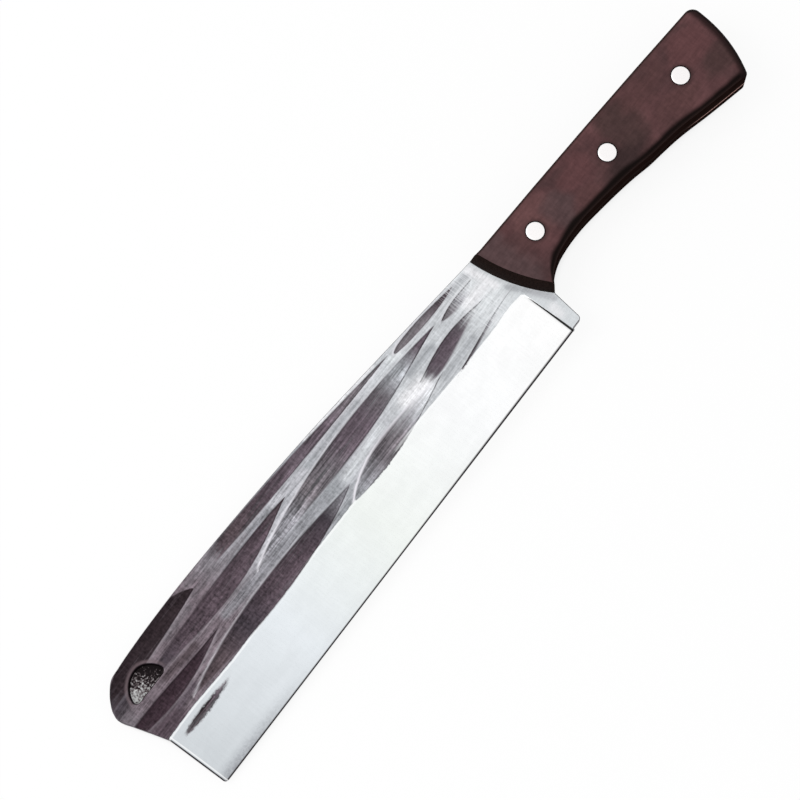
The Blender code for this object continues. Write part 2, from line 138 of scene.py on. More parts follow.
# Long curves, as shares of the distance along and of the rise or fall
SPINE_CURVE = ((0.30, 0.44), (0.51, 0.72), (0.75, 0.92))
NOSE_UPPER = ((0.35, 0.027), (0.62, 0.081), (0.75, 0.132), (0.84, 0.30), (0.915, 0.503), (0.97, 0.72))
NOSE_LOWER = ((0.95, 0.90), (0.80, 0.77), (0.53, 0.52), (0.26, 0.26))
GRIP_RISE = ((0.05, 0.15), (0.10, 0.30), (0.16, 0.43), (0.25, 0.60), (0.45, 0.85), (0.72, 0.98))
BELLY_FALL = ((0.18, 0.095), (0.37, 0.26), (0.45, 0.36), (0.52, 0.415), (0.61, 0.495), (0.80, 0.75))
BUTT_CURVE = 2.35
SPINE_BOW_SHARES = (0.25, 0.5, 0.75)

# Places worked out from the sizes above and from the frame
HALF_BLADE = BLADE_THICKNESS / 2
FRONT_X = -HANDLE_OVERLAP
BUTT_X = FRONT_X + HANDLE_LENGTH
TIP_X = -BLADE_LENGTH
NOSE_X = TIP_X - NOSE_REACH
BUTT_SPINE_HEIGHT = FRONT_HEIGHT - HANDLE_SPINE_DROP
BUTT_CORNER = (BUTT_X - BUTT_RAKE, BUTT_SPINE_HEIGHT - BUTT_WIDTH)
METRES = 0.001
BLADE_LOW, BLADE_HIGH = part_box("blade_with_tang")
_, SCALE_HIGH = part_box("handle_scale_left")
HOME = Vector((
    BLADE_LOW.x - NOSE_X * METRES,
    BLADE_LOW.y,
    (BLADE_LOW.z + BLADE_HIGH.z) / 2,
))
HALF_HANDLE = (SCALE_HIGH.z - HOME.z) / METRES
SCALE_FLOOR = HALF_BLADE + SCALE_GAP
RIVET_SEAT_DEPTH = RIVET_HEAD_THICKNESS + RIVET_SEAT_GAP
BLADE_TO_WORLD = Matrix.Translation(HOME) @ Matrix.Scale(METRES, 4)

# How finely the shapes are drawn
RUN_STEPS = 10
CORNER_STEPS = 10
BUTT_STEPS = 12
ARC_STEPS = 24
HOLE_STEPS = 40
HOLE_SIDES = 36
RIVET_SIDES = 64
RIVET_RIM_STEPS = 4
FINE_STEP = 0.5
FINE_END = 9.0
PLUNGE_COLUMNS = 20
HEEL_COLUMNS = 40
TANG_STEP = 2.5
TANG_END_REACH = 4.0
TANG_END_COLUMNS = 12
RIVET_REACH = 4.2
RIVET_COLUMNS = 22
LEAST_STEP = 0.03
TRIM = 0.1
TIP_BLEND = 25.0
BUTT_BLEND = 45.0
BEVEL_ROWS = 5
GRIND_ROWS = 26
GRIND_SPREAD = 0.7
FORGED_ROWS = 96
CUT_MARGIN = 6.0
HOLE_MARGIN = 1.0
WALL_START = 0.45
FLAT_FACING = 0.99999
SHARP_ANGLES = {"blade": 50, "scale": 35, "rivet": 40}
ROUNDING_STEPS = 8
SOFTENING = 0.18
SOFTENING_ANGLE = 28
SOFTENING_STEPS = 2

# Floor, light and camera, in metres in the part's frame
FLOOR_SIZE = 3.0
FLOOR_GAP = 0.0003
SHADOW_REACH = 0.010
KEY_PLACE = (-0.6, 0.7, 1.3)
KEY_SIZE = 1.0
KEY_POWER = 9.0
SKY_STRENGTH = 0.72
CAMERA_PLACE = (-0.1522, -0.1400, 1.1163)
CAMERA_AIM = (-0.0138, 0.0065, 0.0090)
PICTURE_TURN = math.radians(-52.865)
CAMERA_LENS = 138.48
SENSOR = 36.0


# Curves


def smooth_run(points):
    """A smooth curve through the points, as a list of points."""
    knots = [Vector(p) for p in points]
    gaps = [max((b - a).length, 1e-6) for a, b in zip(knots, knots[1:])]
    slopes = [(b - a) / gap for a, b, gap in zip(knots, knots[1:], gaps)]
    tangents = [slopes[0]]
    for before, after, gap_before, gap_after in zip(slopes, slopes[1:], gaps, gaps[1:]):
        tangents.append((before * gap_after + after * gap_before) / (gap_before + gap_after))
    tangents.append(slopes[-1])
    run = [tuple(knots[0])]
    for i, gap in enumerate(gaps):
        for k in range(1, RUN_STEPS + 1):
            t = k / RUN_STEPS
            run.append(tuple(
                knots[i] * (2 * t**3 - 3 * t**2 + 1)
                + tangents[i] * gap * (t**3 - 2 * t**2 + t)
                + knots[i + 1] * (3 * t**2 - 2 * t**3)
                + tangents[i + 1] * gap * (t**3 - t**2)
            ))
    return run


def share_point(start, end, share):
    """The point that lies the two given shares of the way from start to end."""
    return tuple(a + (b - a) * s for a, b, s in zip(start, end, share))


def rounded_corner(before, corner, after, radius):
    """An arc of the given radius that replaces a corner between two straight lines."""
    corner = Vector(corner)
    into = (corner - Vector(before)).normalized()
    out = (Vector(after) - corner).normalized()
    turn = into.angle_signed(out)
    reach = radius * math.tan(abs(turn) / 2)
    start = corner - into * reach
    side = -1 if turn > 0 else 1
    centre = start + Vector((-into.y, into.x)) * radius * side
    arm = start - centre
    return [
        tuple(centre + Matrix.Rotation(-turn * k / CORNER_STEPS, 2) @ arm)
        for k in range(CORNER_STEPS + 1)
    ]


def height_at(run, x):
    """Height of a run of points at x."""
    return float(np.interp(x, *zip(*sorted(run))))


# Outline of the knife, run by run


def blade_spine():
    start = (FRONT_X, FRONT_HEIGHT)
    end = (TIP_X + SPINE_PEAK_SETBACK, SPINE_HEIGHT)
    return [start] + [share_point(start, end, s) for s in SPINE_CURVE] + [end]


def nose():
    peak = (TIP_X + SPINE_PEAK_SETBACK, SPINE_HEIGHT)
    front = (NOSE_X, NOSE_HEIGHT)
    foot = (TIP_X - TIP_LEAN, GRIND_HEIGHT)
    upper = [share_point(peak, front, s) for s in NOSE_UPPER]
    lower = [share_point(foot, front, s) for s in NOSE_LOWER]
    return upper + [front] + lower + [foot]


def handle_spine():
    """The handle's upper side, from the butt to a small shoulder at the blade."""
    start = (BUTT_X, BUTT_SPINE_HEIGHT)
    end = (FRONT_X + SHOULDER_LENGTH, FRONT_HEIGHT - SHOULDER_DROP)
    points = [start]
    for share in SPINE_BOW_SHARES:
        x, y = share_point(start, end, (share, share))
        points.append((x, y + HANDLE_SPINE_BOW * 4 * share * (1 - share)))
    top = (FRONT_X, FRONT_HEIGHT)
    return points + [end, share_point(top, end, (0.5, 0.72)), top]


def belly():
    """From the heel along the under side of the handle to the butt's lower corner."""
    foot = (HEEL_BACK_REACH, HEEL_BACK_HEIGHT)
    waist_x = FRONT_X + WAIST_SETBACK
    waist = (waist_x, height_at(handle_spine(), waist_x) - WAIST_WIDTH)
    rise = [share_point(foot, waist, s) for s in GRIP_RISE]
    fall = [share_point(waist, BUTT_CORNER, s) for s in BELLY_FALL]
    return smooth_run([foot] + rise + [waist] + fall + [BUTT_CORNER])


def butt():
    """The butt's raked curve, from its lower corner to its upper one."""
    points = []
    for k in range(BUTT_STEPS + 1):
        share = k / BUTT_STEPS
        x = BUTT_X - BUTT_RAKE * (1 - share) ** BUTT_CURVE
        points.append((x, BUTT_CORNER[1] + BUTT_WIDTH * share))
    return points


def handle_runs():
    """Under side, lower corner, butt, upper corner and upper side, each trimmed to the next."""
    under = belly()
    end = butt()
    upper = handle_spine()
    low = rounded_corner(under[-2], end[0], end[1], BUTT_BELLY_RADIUS)
    high = rounded_corner(end[-2], end[-1], upper[1], BUTT_SPINE_RADIUS)
    under = [p for p in under if p[0] < low[0][0] - TRIM]
    end = [p for p in end if low[-1][1] + TRIM < p[1] < high[0][1] - TRIM]
    return under, low, end, high, upper[1:]


def heel():
    """From the end of the cutting edge round the heel and up its back."""
    end = (HEEL_LENGTH, HEEL_RISE)
    top = (HEEL_BACK_REACH, HEEL_BACK_HEIGHT)
    corner = rounded_corner((0.0, HEEL_RISE), end, top, HEEL_CORNER_RADIUS)
    return [(0.0, 0.0), (0.05, HEEL_RISE)] + corner


def boundary():
    """The outline as four curves: the lower and upper ones by x, the tip and the butt by y."""
    tip_corner = rounded_corner((TIP_X, GRIND_HEIGHT), (TIP_X, 0.0), (0.0, 0.0), TIP_CORNER_RADIUS)
    half = CORNER_STEPS // 2
    under, low, end, high, upper = handle_runs()
    head = smooth_run(blade_spine() + nose())
    turn = min(
        (abs(x - NOSE_X - NOSE_CORNER_SETBACK), k) for k, (x, y) in enumerate(head) if y > NOSE_HEIGHT
    )[1]
    bottom = tip_corner[half:] + heel() + under + low[:half + 1]
    top = list(reversed(high[half:] + upper + head[1:turn + 1]))
    tip = tip_corner[:half + 1][::-1] + list(reversed(head[turn:]))
    back = low[half:] + end + high[:half + 1]
    return bottom, top, tip, back


def front_arc(extra):
    """The seam where the scales end on the blade: an arc that bows towards the tip, drawn on at both ends."""
    top = Vector((FRONT_X, FRONT_HEIGHT))
    foot = Vector((HEEL_BACK_REACH, HEEL_BACK_HEIGHT))
    chord = foot - top
    towards_tip = Vector((chord.y, -chord.x)).normalized()
    radius = (chord.length_squared / 4 + FRONT_ARC_RISE**2) / (2 * FRONT_ARC_RISE)
    centre = (top + foot) / 2 - towards_tip * (radius - FRONT_ARC_RISE)
    half = math.asin(chord.length / 2 / radius) + extra / radius
    return [
        tuple(centre + Matrix.Rotation(half * (1 - 2 * k / ARC_STEPS), 2) @ (towards_tip * radius))
        for k in range(ARC_STEPS + 1)
    ]


def hole_outline():
    """The hanging hole: a straight floor and an arch above it, higher towards the handle."""
    left = TIP_X + HOLE_SETBACK
    right = left + HOLE_LENGTH
    peak = left + HOLE_PEAK_SETBACK
    arch = []
    for k in range(HOLE_STEPS + 1):
        angle = math.pi * k / HOLE_STEPS
        reach = right - peak if k * 2 <= HOLE_STEPS else peak - left
        rise = (HOLE_HEIGHT - HOLE_CORNER_RADIUS) * abs(math.sin(angle)) ** HOLE_ARCH
        arch.append((peak + reach * math.cos(angle), HOLE_FLOOR + HOLE_CORNER_RADIUS + rise))
    low_left = rounded_corner(arch[-1], (left, HOLE_FLOOR), (right, HOLE_FLOOR), HOLE_CORNER_RADIUS)
    low_right = rounded_corner((left, HOLE_FLOOR), (right, HOLE_FLOOR), arch[0], HOLE_CORNER_RADIUS)
    return np.array(arch + low_left[1:] + low_right[:-1])


def grown(outline, by):
    """A closed outline, anticlockwise, moved outwards."""
    along = np.roll(outline, -1, 0) - np.roll(outline, 1, 0)
    along /= np.maximum(np.hypot(along[:, 0], along[:, 1]), 1e-9)[:, None]
    return outline + by * np.stack([along[:, 1], -along[:, 0]], 1)


def rivet_places():
    first = FRONT_X + RIVET_SETBACK
    span = RIVET_PITCH * (len(RIVET_WORDS) - 1)
    ends = [
        (x, (height_at(handle_spine(), x) + height_at(belly(), x)) / 2 + rise)
        for x, rise in zip((first, first + span), RIVET_RISES)
    ]
    places = []
    for k in range(len(RIVET_WORDS)):
        share = k / (len(RIVET_WORDS) - 1)
        x, y = share_point(*ends, (share, share))
        places.append((x, y + RIVET_BOW * 4 * share * (1 - share)))
    return places


# Placing


def to_world(points):
    """Millimetres in the blade's frame to metres in the part's frame."""
    return np.asarray(points, float) * METRES + np.array(HOME)


def new_object(name, data):
    made = bpy.data.objects.new(name, data)
    bpy.context.scene.collection.objects.link(made)
    return made


def smoothed(mesh, angle):
    """Smooth shading, but for the edges that turn by more than the angle."""
    mesh.shade_smooth()
    mesh.set_sharp_from_angle(angle=math.radians(angle))


def as_piece(piece, *nodes, slot):
    """The piece rides on the knife and stands for CAD nodes, which it hides. The slot is not used."""
    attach(piece, "root")
    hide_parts(*nodes)
    return piece


# Forged hollows


# The steel's tones, as they look in even light
SOOT = (47, 40, 43)
CHAR = (57, 46, 52)
COAL = (67, 61, 67)
UMBER = (80, 70, 74)
PLUM = (84, 73, 80)
MAUVE = (97, 87, 95)
IRON = (104, 99, 104)
DUSK = (120, 109, 116)
TAUPE = (119, 113, 118)
PEWTER = (146, 145, 151)
STEEL = (170, 173, 178)
SILVER = (190, 190, 196)
PALE = (210, 213, 217)
LIGHT = (230, 234, 237)
WHITE = (252, 252, 255)

# Each hollow has two pointed ends and bulges up and down by (amount, place along, sharpness). Its tones are
# evenly spaced from left to right, and fade says over which share of its length they fade in and out. The
# rest are (left, right) pairs: blur is how soft its upper and its lower edge are; edges are the painted
# highlight above it, the painted shade lines inside its upper and its lower edge, and the painted highlight
# below it; grain is how strongly it is streaked.
Hollow = namedtuple("Hollow", "start end rise drop tones fade blur edges grain")

LEFT_HOLLOWS = (
    Hollow((-47.5, 46.8), (-14.0, 45.4), (1.8, 0.3, 0.75), (1.5, 0.5, 0.7),
           (TAUPE, TAUPE, TAUPE, PLUM, PLUM), (0.02, 0.08), ((0.4, 0.4), (0.3, 0.4)),
           ((1.0, 0.2), (0.6, 0.6), (0.3, 0.6), (0.8, 0.4)), (0.6, 0.6)),
    Hollow((-152.0, 54.3), (-48.8, 48.6), (3.0, 0.25, 0.6), (2.4, 0.2, 0.5),
           (PLUM, UMBER, PLUM, MAUVE, MAUVE, TAUPE, IRON), (0.12, 0.01), ((0.9, 0.4), (0.6, 0.25)),
           ((0.0, 0.0), (0.0, 0.6), (0.0, 1.0), (0.1, 1.0)), (0.5, 1.4)),
    Hollow((-140.5, 37.6), (-29.0, 41.7), (5.7, 0.45, 0.9), (3.3, 0.57, 1.8),
           (PEWTER, PEWTER, PEWTER, TAUPE, IRON, MAUVE, MAUVE, IRON, STEEL, MAUVE, MAUVE),
           (0.08, 0.02), ((0.5, 0.5), (1.3, 0.2)),
           ((0.9, 0.1), (0.1, 0.5), (0.2, 1.2), (0.0, 0.1)), (1.4, 0.5)),
    Hollow((-206.0, 43.6), (-113.0, 46.4), (2.5, 0.45, 0.6), (5.3, 0.6, 1.7),
           (UMBER, COAL, PLUM, PLUM, PLUM, PLUM, UMBER), (0.10, 0.01), ((0.9, 0.4), (1.2, 0.2)),
           ((0.0, 0.0), (0.1, 0.7), (0.0, 1.0), (0.0, 0.5)), (0.5, 0.7)),
    Hollow((-224.0, 47.5), (-159.5, 52.4), (9.0, 0.6, 1.1), (0.7, 0.6, 0.8),
           (CHAR, SOOT, SOOT, SOOT, SOOT), (0.34, 0.01), ((0.6, 0.4), (0.9, 0.3)),
           ((0.0, 0.0), (0.0, 0.0), (0.0, 1.0), (0.0, 0.3)), (0.3, 0.3)),
    Hollow((-50.0, 33.2), (-10.3, 33.4), (2.6, 0.5, 1.3), (4.0, 0.2, 1.1),
           (IRON, MAUVE, MAUVE, IRON, IRON), (0.16, 0.42), ((0.3, 0.3), (0.8, 1.2)),
           ((0.1, 0.4), (0.7, 1.0), (0.0, 0.0), (0.0, 0.0)), (0.3, 0.6)),
    Hollow((-99.5, 25.1), (-41.0, 28.8), (5.0, 0.37, 1.25), (2.9, 0.45, 1.1),
           (STEEL, PEWTER, IRON, TAUPE, PEWTER, PALE, LIGHT), (0.02, 0.60), ((0.3, 2.4), (0.4, 0.2)),
           ((2.2, 0.0), (0.0, 0.0), (0.5, 1.2), (0.0, 0.1)), (0.7, 1.8)),
    Hollow((-190.0, 28.0), (-95.0, 30.6), (4.3, 0.45, 1.0), (4.7, 0.57, 1.0),
           (UMBER, UMBER, COAL, PLUM, PLUM, COAL, PEWTER), (0.05, 0.01), ((0.8, 0.6), (0.8, 0.3)),
           ((0.5, 0.1), (0.2, 0.6), (0.2, 0.9), (0.0, 0.4)), (0.6, 0.4)),
    Hollow((-222.0, 36.0), (-164.0, 36.6), (2.2, 0.25, 1.3), (4.2, 0.5, 1.3),
           (CHAR, CHAR, CHAR, CHAR, PLUM), (0.02, 0.01), ((0.7, 0.3), (0.7, 0.4)),
           ((0.0, 0.0), (0.3, 0.9), (0.2, 0.6), (0.0, 0.3)), (0.3, 0.4)),
    Hollow((-204.5, 22.0), (-175.5, 22.2), (1.5, 0.4, 0.9), (1.6, 0.45, 1.0),
           (IRON, UMBER, MAUVE, TAUPE), (0.10, 0.16), ((0.7, 0.9), (0.7, 0.9)),
           ((0.0, 0.0), (0.4, 0.3), (0.2, 0.4), (0.0, 0.0)), (2.4, 2.4)),
    Hollow((-27.5, 40.6), (-8.0, 41.7), (0.9, 0.4, 1.2), (2.6, 0.6, 0.65),
           (TAUPE, TAUPE, PEWTER, SILVER, LIGHT), (0.04, 0.50), ((0.2, 0.2), (0.5, 1.6)),
           ((0.5, 0.2), (1.0, 1.0), (0.2, 0.0), (0.2, 0.0)), (0.8, 0.8)),
    Hollow((-40.5, 23.6), (-1.0, 27.3), (0.9, 0.7, 1.35), (0.75, 0.2, 2.4),
           (PLUM, IRON, PEWTER, PALE), (0.06, 0.60), ((0.2, 0.2), (0.5, 0.8)),
           ((0.0, 0.2), (1.1, 0.55), (0.1, 0.0), (0.0, 0.0)), (0.8, 0.8)),
)
# How each hollow of the right face differs from the left one: moved along, moved up and stretched
RIGHT_MOVES = (
    (-7.0, 0.3, 1.15), (-6.0, -0.1, 0.97), (5.0, 0.5, 0.90), (4.0, 0.2, 0.86), (2.0, -0.2, 1.08),
    (-9.0, 0.5, 1.20), (7.0, 0.4, 0.84), (-6.0, 0.2, 0.95), (5.0, 0.3, 1.12), (34.0, -1.2, 0.80),
    (-3.0, -0.4, 1.20), (-8.0, 0.4, 1.10),
)


def moved(hollow, along, up, stretch):
    (x0, y0), (x1, y1) = hollow.start, hollow.end
    start = (x0 + along, y0 + up)
    return hollow._replace(start=start, end=(start[0] + (x1 - x0) * stretch, y1 + up))


RIGHT_HOLLOWS = tuple(moved(hollow, *move) for hollow, move in zip(LEFT_HOLLOWS, RIGHT_MOVES))
HOLLOW_DEPTH = 0.075
SHINE_LIFT = 0.004
SHINE_GAIN = 1.19
RIDGE_SHINE = (0.86, 0.92)
RIDGE_BRIGHT = 0.45
RIDGE_TONES = (
    (-214.0, IRON), (-203.0, DUSK), (-158.0, DUSK), (-138.0, PEWTER), (-100.0, STEEL), (-80.0, SILVER),
    (-60.0, PALE), (-26.0, PALE), (-12.0, LIGHT), (2.0, LIGHT),
)
# Soft strokes on the ridges: from, to, half width, tone and strength. Most give the steel's own tone;
# the white ones and the silver one under a hollow's lower edge are painted highlights and glow, and the
# steel one along the handle's seam is painted shade.
TONE_AND_LIGHT_STROKES = (
    ((-215.0, 48.5), (-204.0, 48.5), 4.4, COAL, 1.0),
    ((-216.0, 30.0), (-200.0, 29.0), 5.0, PLUM, 1.0),
    ((-196.0, 30.5), (-187.0, 30.8), 1.6, MAUVE, 0.9),
    ((-191.0, 40.4), (-176.0, 39.2), 1.8, UMBER, 0.85),
    ((-160.0, 37.4), (-141.0, 36.2), 2.0, PEWTER, 0.8),
    ((-160.0, 55.4), (-149.0, 54.6), 1.8, PEWTER, 0.2),
    ((-180.0, 49.2), (-166.0, 49.6), 1.3, IRON, 0.6),
    ((-162.0, 51.0), (-150.0, 50.6), 1.4, IRON, 0.5),
    ((-150.0, 49.4), (-133.0, 49.3), 1.2, TAUPE, 0.5),
    # Painted highlight under a hollow's lower edge.
    ((-137.0, 39.4), (-106.0, 45.3), 1.5, SILVER, 0.90),
    ((-134.0, 35.6), (-104.0, 34.4), 1.8, PEWTER, 0.40),
    ((-118.0, 48.2), (-102.0, 46.8), 1.8, SILVER, 1.00),
    ((-86.0, 47.5), (-70.0, 46.6), 1.4, STEEL, 0.7),
    ((-94.0, 33.0), (-72.0, 34.4), 2.0, PALE, 0.90),
    # Painted glow.
    ((-58.0, 32.6), (-50.0, 31.5), 3.6, WHITE, 1.0),
    ((-92.0, 53.8), (-56.0, 50.7), 1.0, WHITE, 0.7),
    ((-50.5, 47.0), (-45.0, 45.2), 1.2, LIGHT, 1.0),
    ((-45.0, 44.7), (-31.0, 44.0), 0.8, PALE, 0.8),
    ((-50.0, 38.6), (-37.0, 37.4), 1.7, STEEL, 0.85),
    ((-43.0, 27.0), (-25.0, 27.6), 1.6, STEEL, 0.55),
    ((-18.0, 44.9), (-8.0, 43.8), 1.6, STEEL, 0.80),
    ((-16.0, 37.2), (-8.5, 36.2), 2.4, WHITE, 1.0),
    ((-6.0, 44.5), (-4.6, 33.0), 1.8, WHITE, 1.0),
    # Painted shade along the handle's seam.
    ((-2.4, 29.0), (1.0, 22.5), 1.3, STEEL, 0.6),
    ((1.8, 20.5), (4.8, 13.0), 1.5, SILVER, 0.6),
    ((1.2, 8.0), (1.8, 11.0), 2.0, WHITE, 0.8),
)
GRIND_LINE = (
    (-207.4, 25.9), (-198.0, 26.2), (-170.0, 25.3), (-150.0, 25.7), (-110.0, 25.5), (-60.0, 25.0),
    (-36.0, 23.9), (-20.0, 23.5), (-3.0, 23.5), (-1.6, 23.2), (-1.0, 22.4),
)
PLUNGE_FOOT = -0.35
PLUNGE_LEAN = 0.55


def lens(share, place, sharpness):
    """Rises from 0 to 1 at its place and falls to 0 again, pointed at both ends."""
    s = np.clip(share, 1e-6, 1 - 1e-6)
    return ((s / place) ** place * ((1 - s) / (1 - place)) ** (1 - place)) ** (2 * sharpness)


def grind_line(x):
    """Height of the line where the grind starts."""
    return np.interp(x, *zip(*smooth_run(GRIND_LINE)))


def plunge_line(y):
    """Where the grind ends towards the handle: a line that leans back a little."""
    return PLUNGE_FOOT - PLUNGE_LEAN * (y / GRIND_HEIGHT) ** 2


def ground_height(x, y):
    """Half thickness of the ground part."""
    line = grind_line(x)
    flat = HALF_BLADE - (line - y) * (HALF_BLADE - BEVEL_THICKNESS / 2) / (line - BEVEL_HEIGHT)
    bevel = EDGE_THICKNESS / 2 + (BEVEL_THICKNESS - EDGE_THICKNESS) / 2 * y / BEVEL_HEIGHT
    ground = np.where(y < BEVEL_HEIGHT, bevel, np.minimum(flat, HALF_BLADE))
    rise = np.clip((x - plunge_line(y)) / PLUNGE_WIDTH + 1, 0, 1)
    return ground + (HALF_BLADE - ground) * rise


def linear(tone):
    """A colour written as 0 to 255 in sRGB, in linear light."""
    c = np.asarray(tone, float) / 255
    return np.where(c <= 0.04045, c / 12.92, ((c + 0.055) / 1.055) ** 2.4)


def steel_tone(tone):
    """The colour that steel needs to look like a tone, since its own shine lifts it a little."""
    return np.maximum((linear(tone) - SHINE_LIFT) / SHINE_GAIN, 0.002)


def blend(a, b, share):
    return a + (b - a) * share[..., None]


def spread_tones(where, places, tones):
    """Tones at places on a line, blended in between."""
    stops = np.array([steel_tone(tone) for tone in tones])
    return np.stack([np.interp(where, places, channel) for channel in stops.T], -1)


def ridge_field(x, y):
    """The tone between the hollows."""
    field = spread_tones(x, *zip(*RIDGE_TONES))
    # Lays the strokes on: the steel's own tones, painted highlights and glow, and painted shade.
    for (x0, y0), (x1, y1), width, tone, strength in TONE_AND_LIGHT_STROKES:
        share = ((x - x0) * (x1 - x0) + (y - y0) * (y1 - y0)) / ((x1 - x0) ** 2 + (y1 - y0) ** 2)
        share = np.clip(share, 0, 1)
        away = np.hypot(x - x0 - (x1 - x0) * share, y - y0 - (y1 - y0) * share)
        field = blend(field, steel_tone(tone), strength * np.exp(-(away / width) ** 3))
    dark, bright = RIDGE_SHINE
    level = np.clip(field.mean(-1, keepdims=True) / RIDGE_BRIGHT, 0, 1)
    return field * (dark + (bright - dark) * level)


# How far the fields beside the grind's two lines reach
GRIND_REACH = 3.0
PLUNGE_REACH = 5.0
# What the finish follows: how many channels each field has, and its value far from any hollow and on the rim
FIELDS = {
    "hollow": (1, -20.0, -9.0), "across": (1, 0.0, 0.0), "fill": (1, 1.0, 0.0), "blur": (1, 0.3, 0.0),
    "grain": (1, 0.0, 0.0), "hollow_tone": (3, 0.0, 0.0), "hollow_edge_light_and_shade": (4, 0.0, 0.0),
    "ridge_tone": (3, 0.0, 0.0), "above_grind": (1, GRIND_REACH, GRIND_REACH),
    "plunge": (1, PLUNGE_REACH, PLUNGE_REACH), "hole_gap": (1, 9.0, 0.0), "rim": (1, 0.0, 1.0),
}
LIGHT_END = 0.08
MOST_DEPTH = 0.5


def field_shape(points, channels):
    return points if channels == 1 else (*points, channels)


def one_hollow(hollow, x, y):
    """How deep a hollow is at arrays of points, and what its finish follows there."""
    (x0, y0), (x1, y1) = hollow.start, hollow.end
    share = (x - x0) / (x1 - x0)
    chord = y0 + (y1 - y0) * share
    top = chord + hollow.rise[0] * lens(share, *hollow.rise[1:])
    bottom = chord - hollow.drop[0] * lens(share, *hollow.drop[1:])
    half = (top - bottom) / 2
    offset = y - (top + bottom) / 2
    beyond = np.maximum(np.maximum(x0 - x, x - x1), 0.0)
    distance = np.where(beyond > 0, -np.hypot(beyond, offset), half - np.abs(offset))
    across = np.clip(offset / np.maximum(half, 1e-6), -1.0, 1.0)
    depth = np.where(distance > 0, HOLLOW_DEPTH * half * (1 - across * across), 0.0)
    s = np.clip(share, 0, 1)
    fades = [np.clip(run / max(fade, 1e-3), 0, 1) for run, fade in zip((s, 1 - s), hollow.fade)]
    upper, lower = (left + (right - left) * s for left, right in hollow.blur)
    at_left, at_right = np.array(hollow.edges).T
    edges = blend(at_left, at_right, s)
    # The painted highlight below a hollow fades out at its right end.
    edges[..., 3] *= np.clip((1 - s) / LIGHT_END, 0, 1)
    return depth, {
        "hollow": distance,
        "across": across,
        "fill": fades[0] * fades[1],
        "blur": lower + (upper - lower) * (across + 1) / 2,
        "grain": hollow.grain[0] + (hollow.grain[1] - hollow.grain[0]) * s,
        "hollow_tone": spread_tones(s, np.linspace(0, 1, len(hollow.tones)), hollow.tones),
        "hollow_edge_light_and_shade": edges,
    }


def face_fields(x, y, hollows):
    """Half thickness of the blade at arrays of points, and what its finish follows there."""
    depth = np.zeros_like(x)
    fields = {name: np.full(field_shape(x.shape, n), far) for name, (n, far, _) in FIELDS.items()}
    for hollow in hollows:
        deep, found = one_hollow(hollow, x, y)
        depth = np.maximum(depth, deep)
        nearer = found["hollow"] > fields["hollow"]
        for name, values in found.items():
            here = nearer[..., None] if values.ndim > nearer.ndim else nearer
            fields[name] = np.where(here, values, fields[name])
    line = grind_line(x)
    plunge = x - plunge_line(y)
    surface = np.where((y > line) | (plunge > 0), HALF_BLADE, ground_height(x, y))
    fields["height"] = surface - np.minimum(depth, surface * MOST_DEPTH)
    above = np.clip(y - line, -GRIND_REACH, GRIND_REACH)
    fields["above_grind"] = np.where(plunge > 0, GRIND_REACH, above)
    fields["plunge"] = np.clip(plunge, -PLUNGE_REACH, PLUNGE_REACH)
    fields["ridge_tone"] = ridge_field(x, y)
    return fields


# Blade


def column_places(bottom):
    """Where the grid's columns meet the lower outline."""
    start = bottom[0][0]
    end = bottom[-1][0]
    places = list(np.linspace(start, 0.0, int(round(-start / FINE_STEP)) + 1))
    places += list(np.linspace(PLUNGE_FOOT - PLUNGE_LEAN - PLUNGE_WIDTH, 0.05, PLUNGE_COLUMNS))
    places += list(np.linspace(0.4, FINE_END, HEEL_COLUMNS))
    places += [p[0] for p in heel() if p[0] > 0.2]
    places += list(np.arange(FINE_END, end - TANG_END_REACH, TANG_STEP))
    places += list(np.linspace(end - TANG_END_REACH, end, TANG_END_COLUMNS))
    for x, _ in rivet_places():
        places += list(np.linspace(x - RIVET_REACH, x + RIVET_REACH, RIVET_COLUMNS))
    places = np.unique(np.round(places, 3))
    keep = [places[0]]
    for place in places[1:]:
        if place - keep[-1] > LEAST_STEP:
            keep.append(place)
    return np.array(keep)


def blade_grid():
    """Columns by rows of points that fill the outline: fine where the forging shows."""
    bottom, top, tip, back = boundary()
    lower_x = column_places(bottom)
    upper_start, upper_end = top[0][0], top[-1][0]
    tip_weight = np.clip(1 - (lower_x - lower_x[0]) / TIP_BLEND, 0, 1) ** 2
    back_weight = np.clip(1 - (lower_x[-1] - lower_x) / BUTT_BLEND, 0, 1) ** 2
    upper_x = lower_x + (upper_start - lower_x[0]) * tip_weight + (upper_end - lower_x[-1]) * back_weight
    low = np.interp(lower_x, *zip(*bottom))
    high = np.interp(upper_x, *zip(*top))
    edge_rows = np.linspace(0, 1, BEVEL_ROWS + 1)
    middle_rows = np.linspace(0, 1, GRIND_ROWS + 1)[1:] ** GRIND_SPREAD
    upper_rows = np.linspace(0, 1, FORGED_ROWS + 1)[1:]
    bevel_top = low + BEVEL_HEIGHT
    line = np.maximum(grind_line(np.minimum(lower_x, 0.0)), low + 2.0)
    rows = [low + (bevel_top - low) * s for s in edge_rows]
    rows += [bevel_top + (line - bevel_top) * s for s in middle_rows]
    rows += [line + (high - line) * s for s in upper_rows]
    y = np.stack(rows, 1)
    share = (y - low[:, None]) / (high - low)[:, None]
    chord = lower_x[:, None] + (upper_x - lower_x)[:, None] * share
    tip_x = np.interp(y[0], *reversed([*zip(*tip)]))
    back_x = np.interp(y[-1], *reversed([*zip(*back)]))
    x = chord + tip_weight[:, None] * (tip_x - chord[0]) + back_weight[:, None] * (back_x - chord[-1])
    return x, y


def inside_outline(points, outline):
    """Which points lie in a closed outline."""
    px, py = points[..., 0], points[..., 1]
    found = np.zeros(px.shape, bool)
    ends = np.roll(outline, -1, 0)
    for (ax, ay), (bx, by) in zip(outline, ends):
        crosses = (ay > py) != (by > py)
        at = ax + (py - ay) * (bx - ax) / np.where(by == ay, 1e-12, by - ay)
        found ^= crosses & (px < at)
    return found


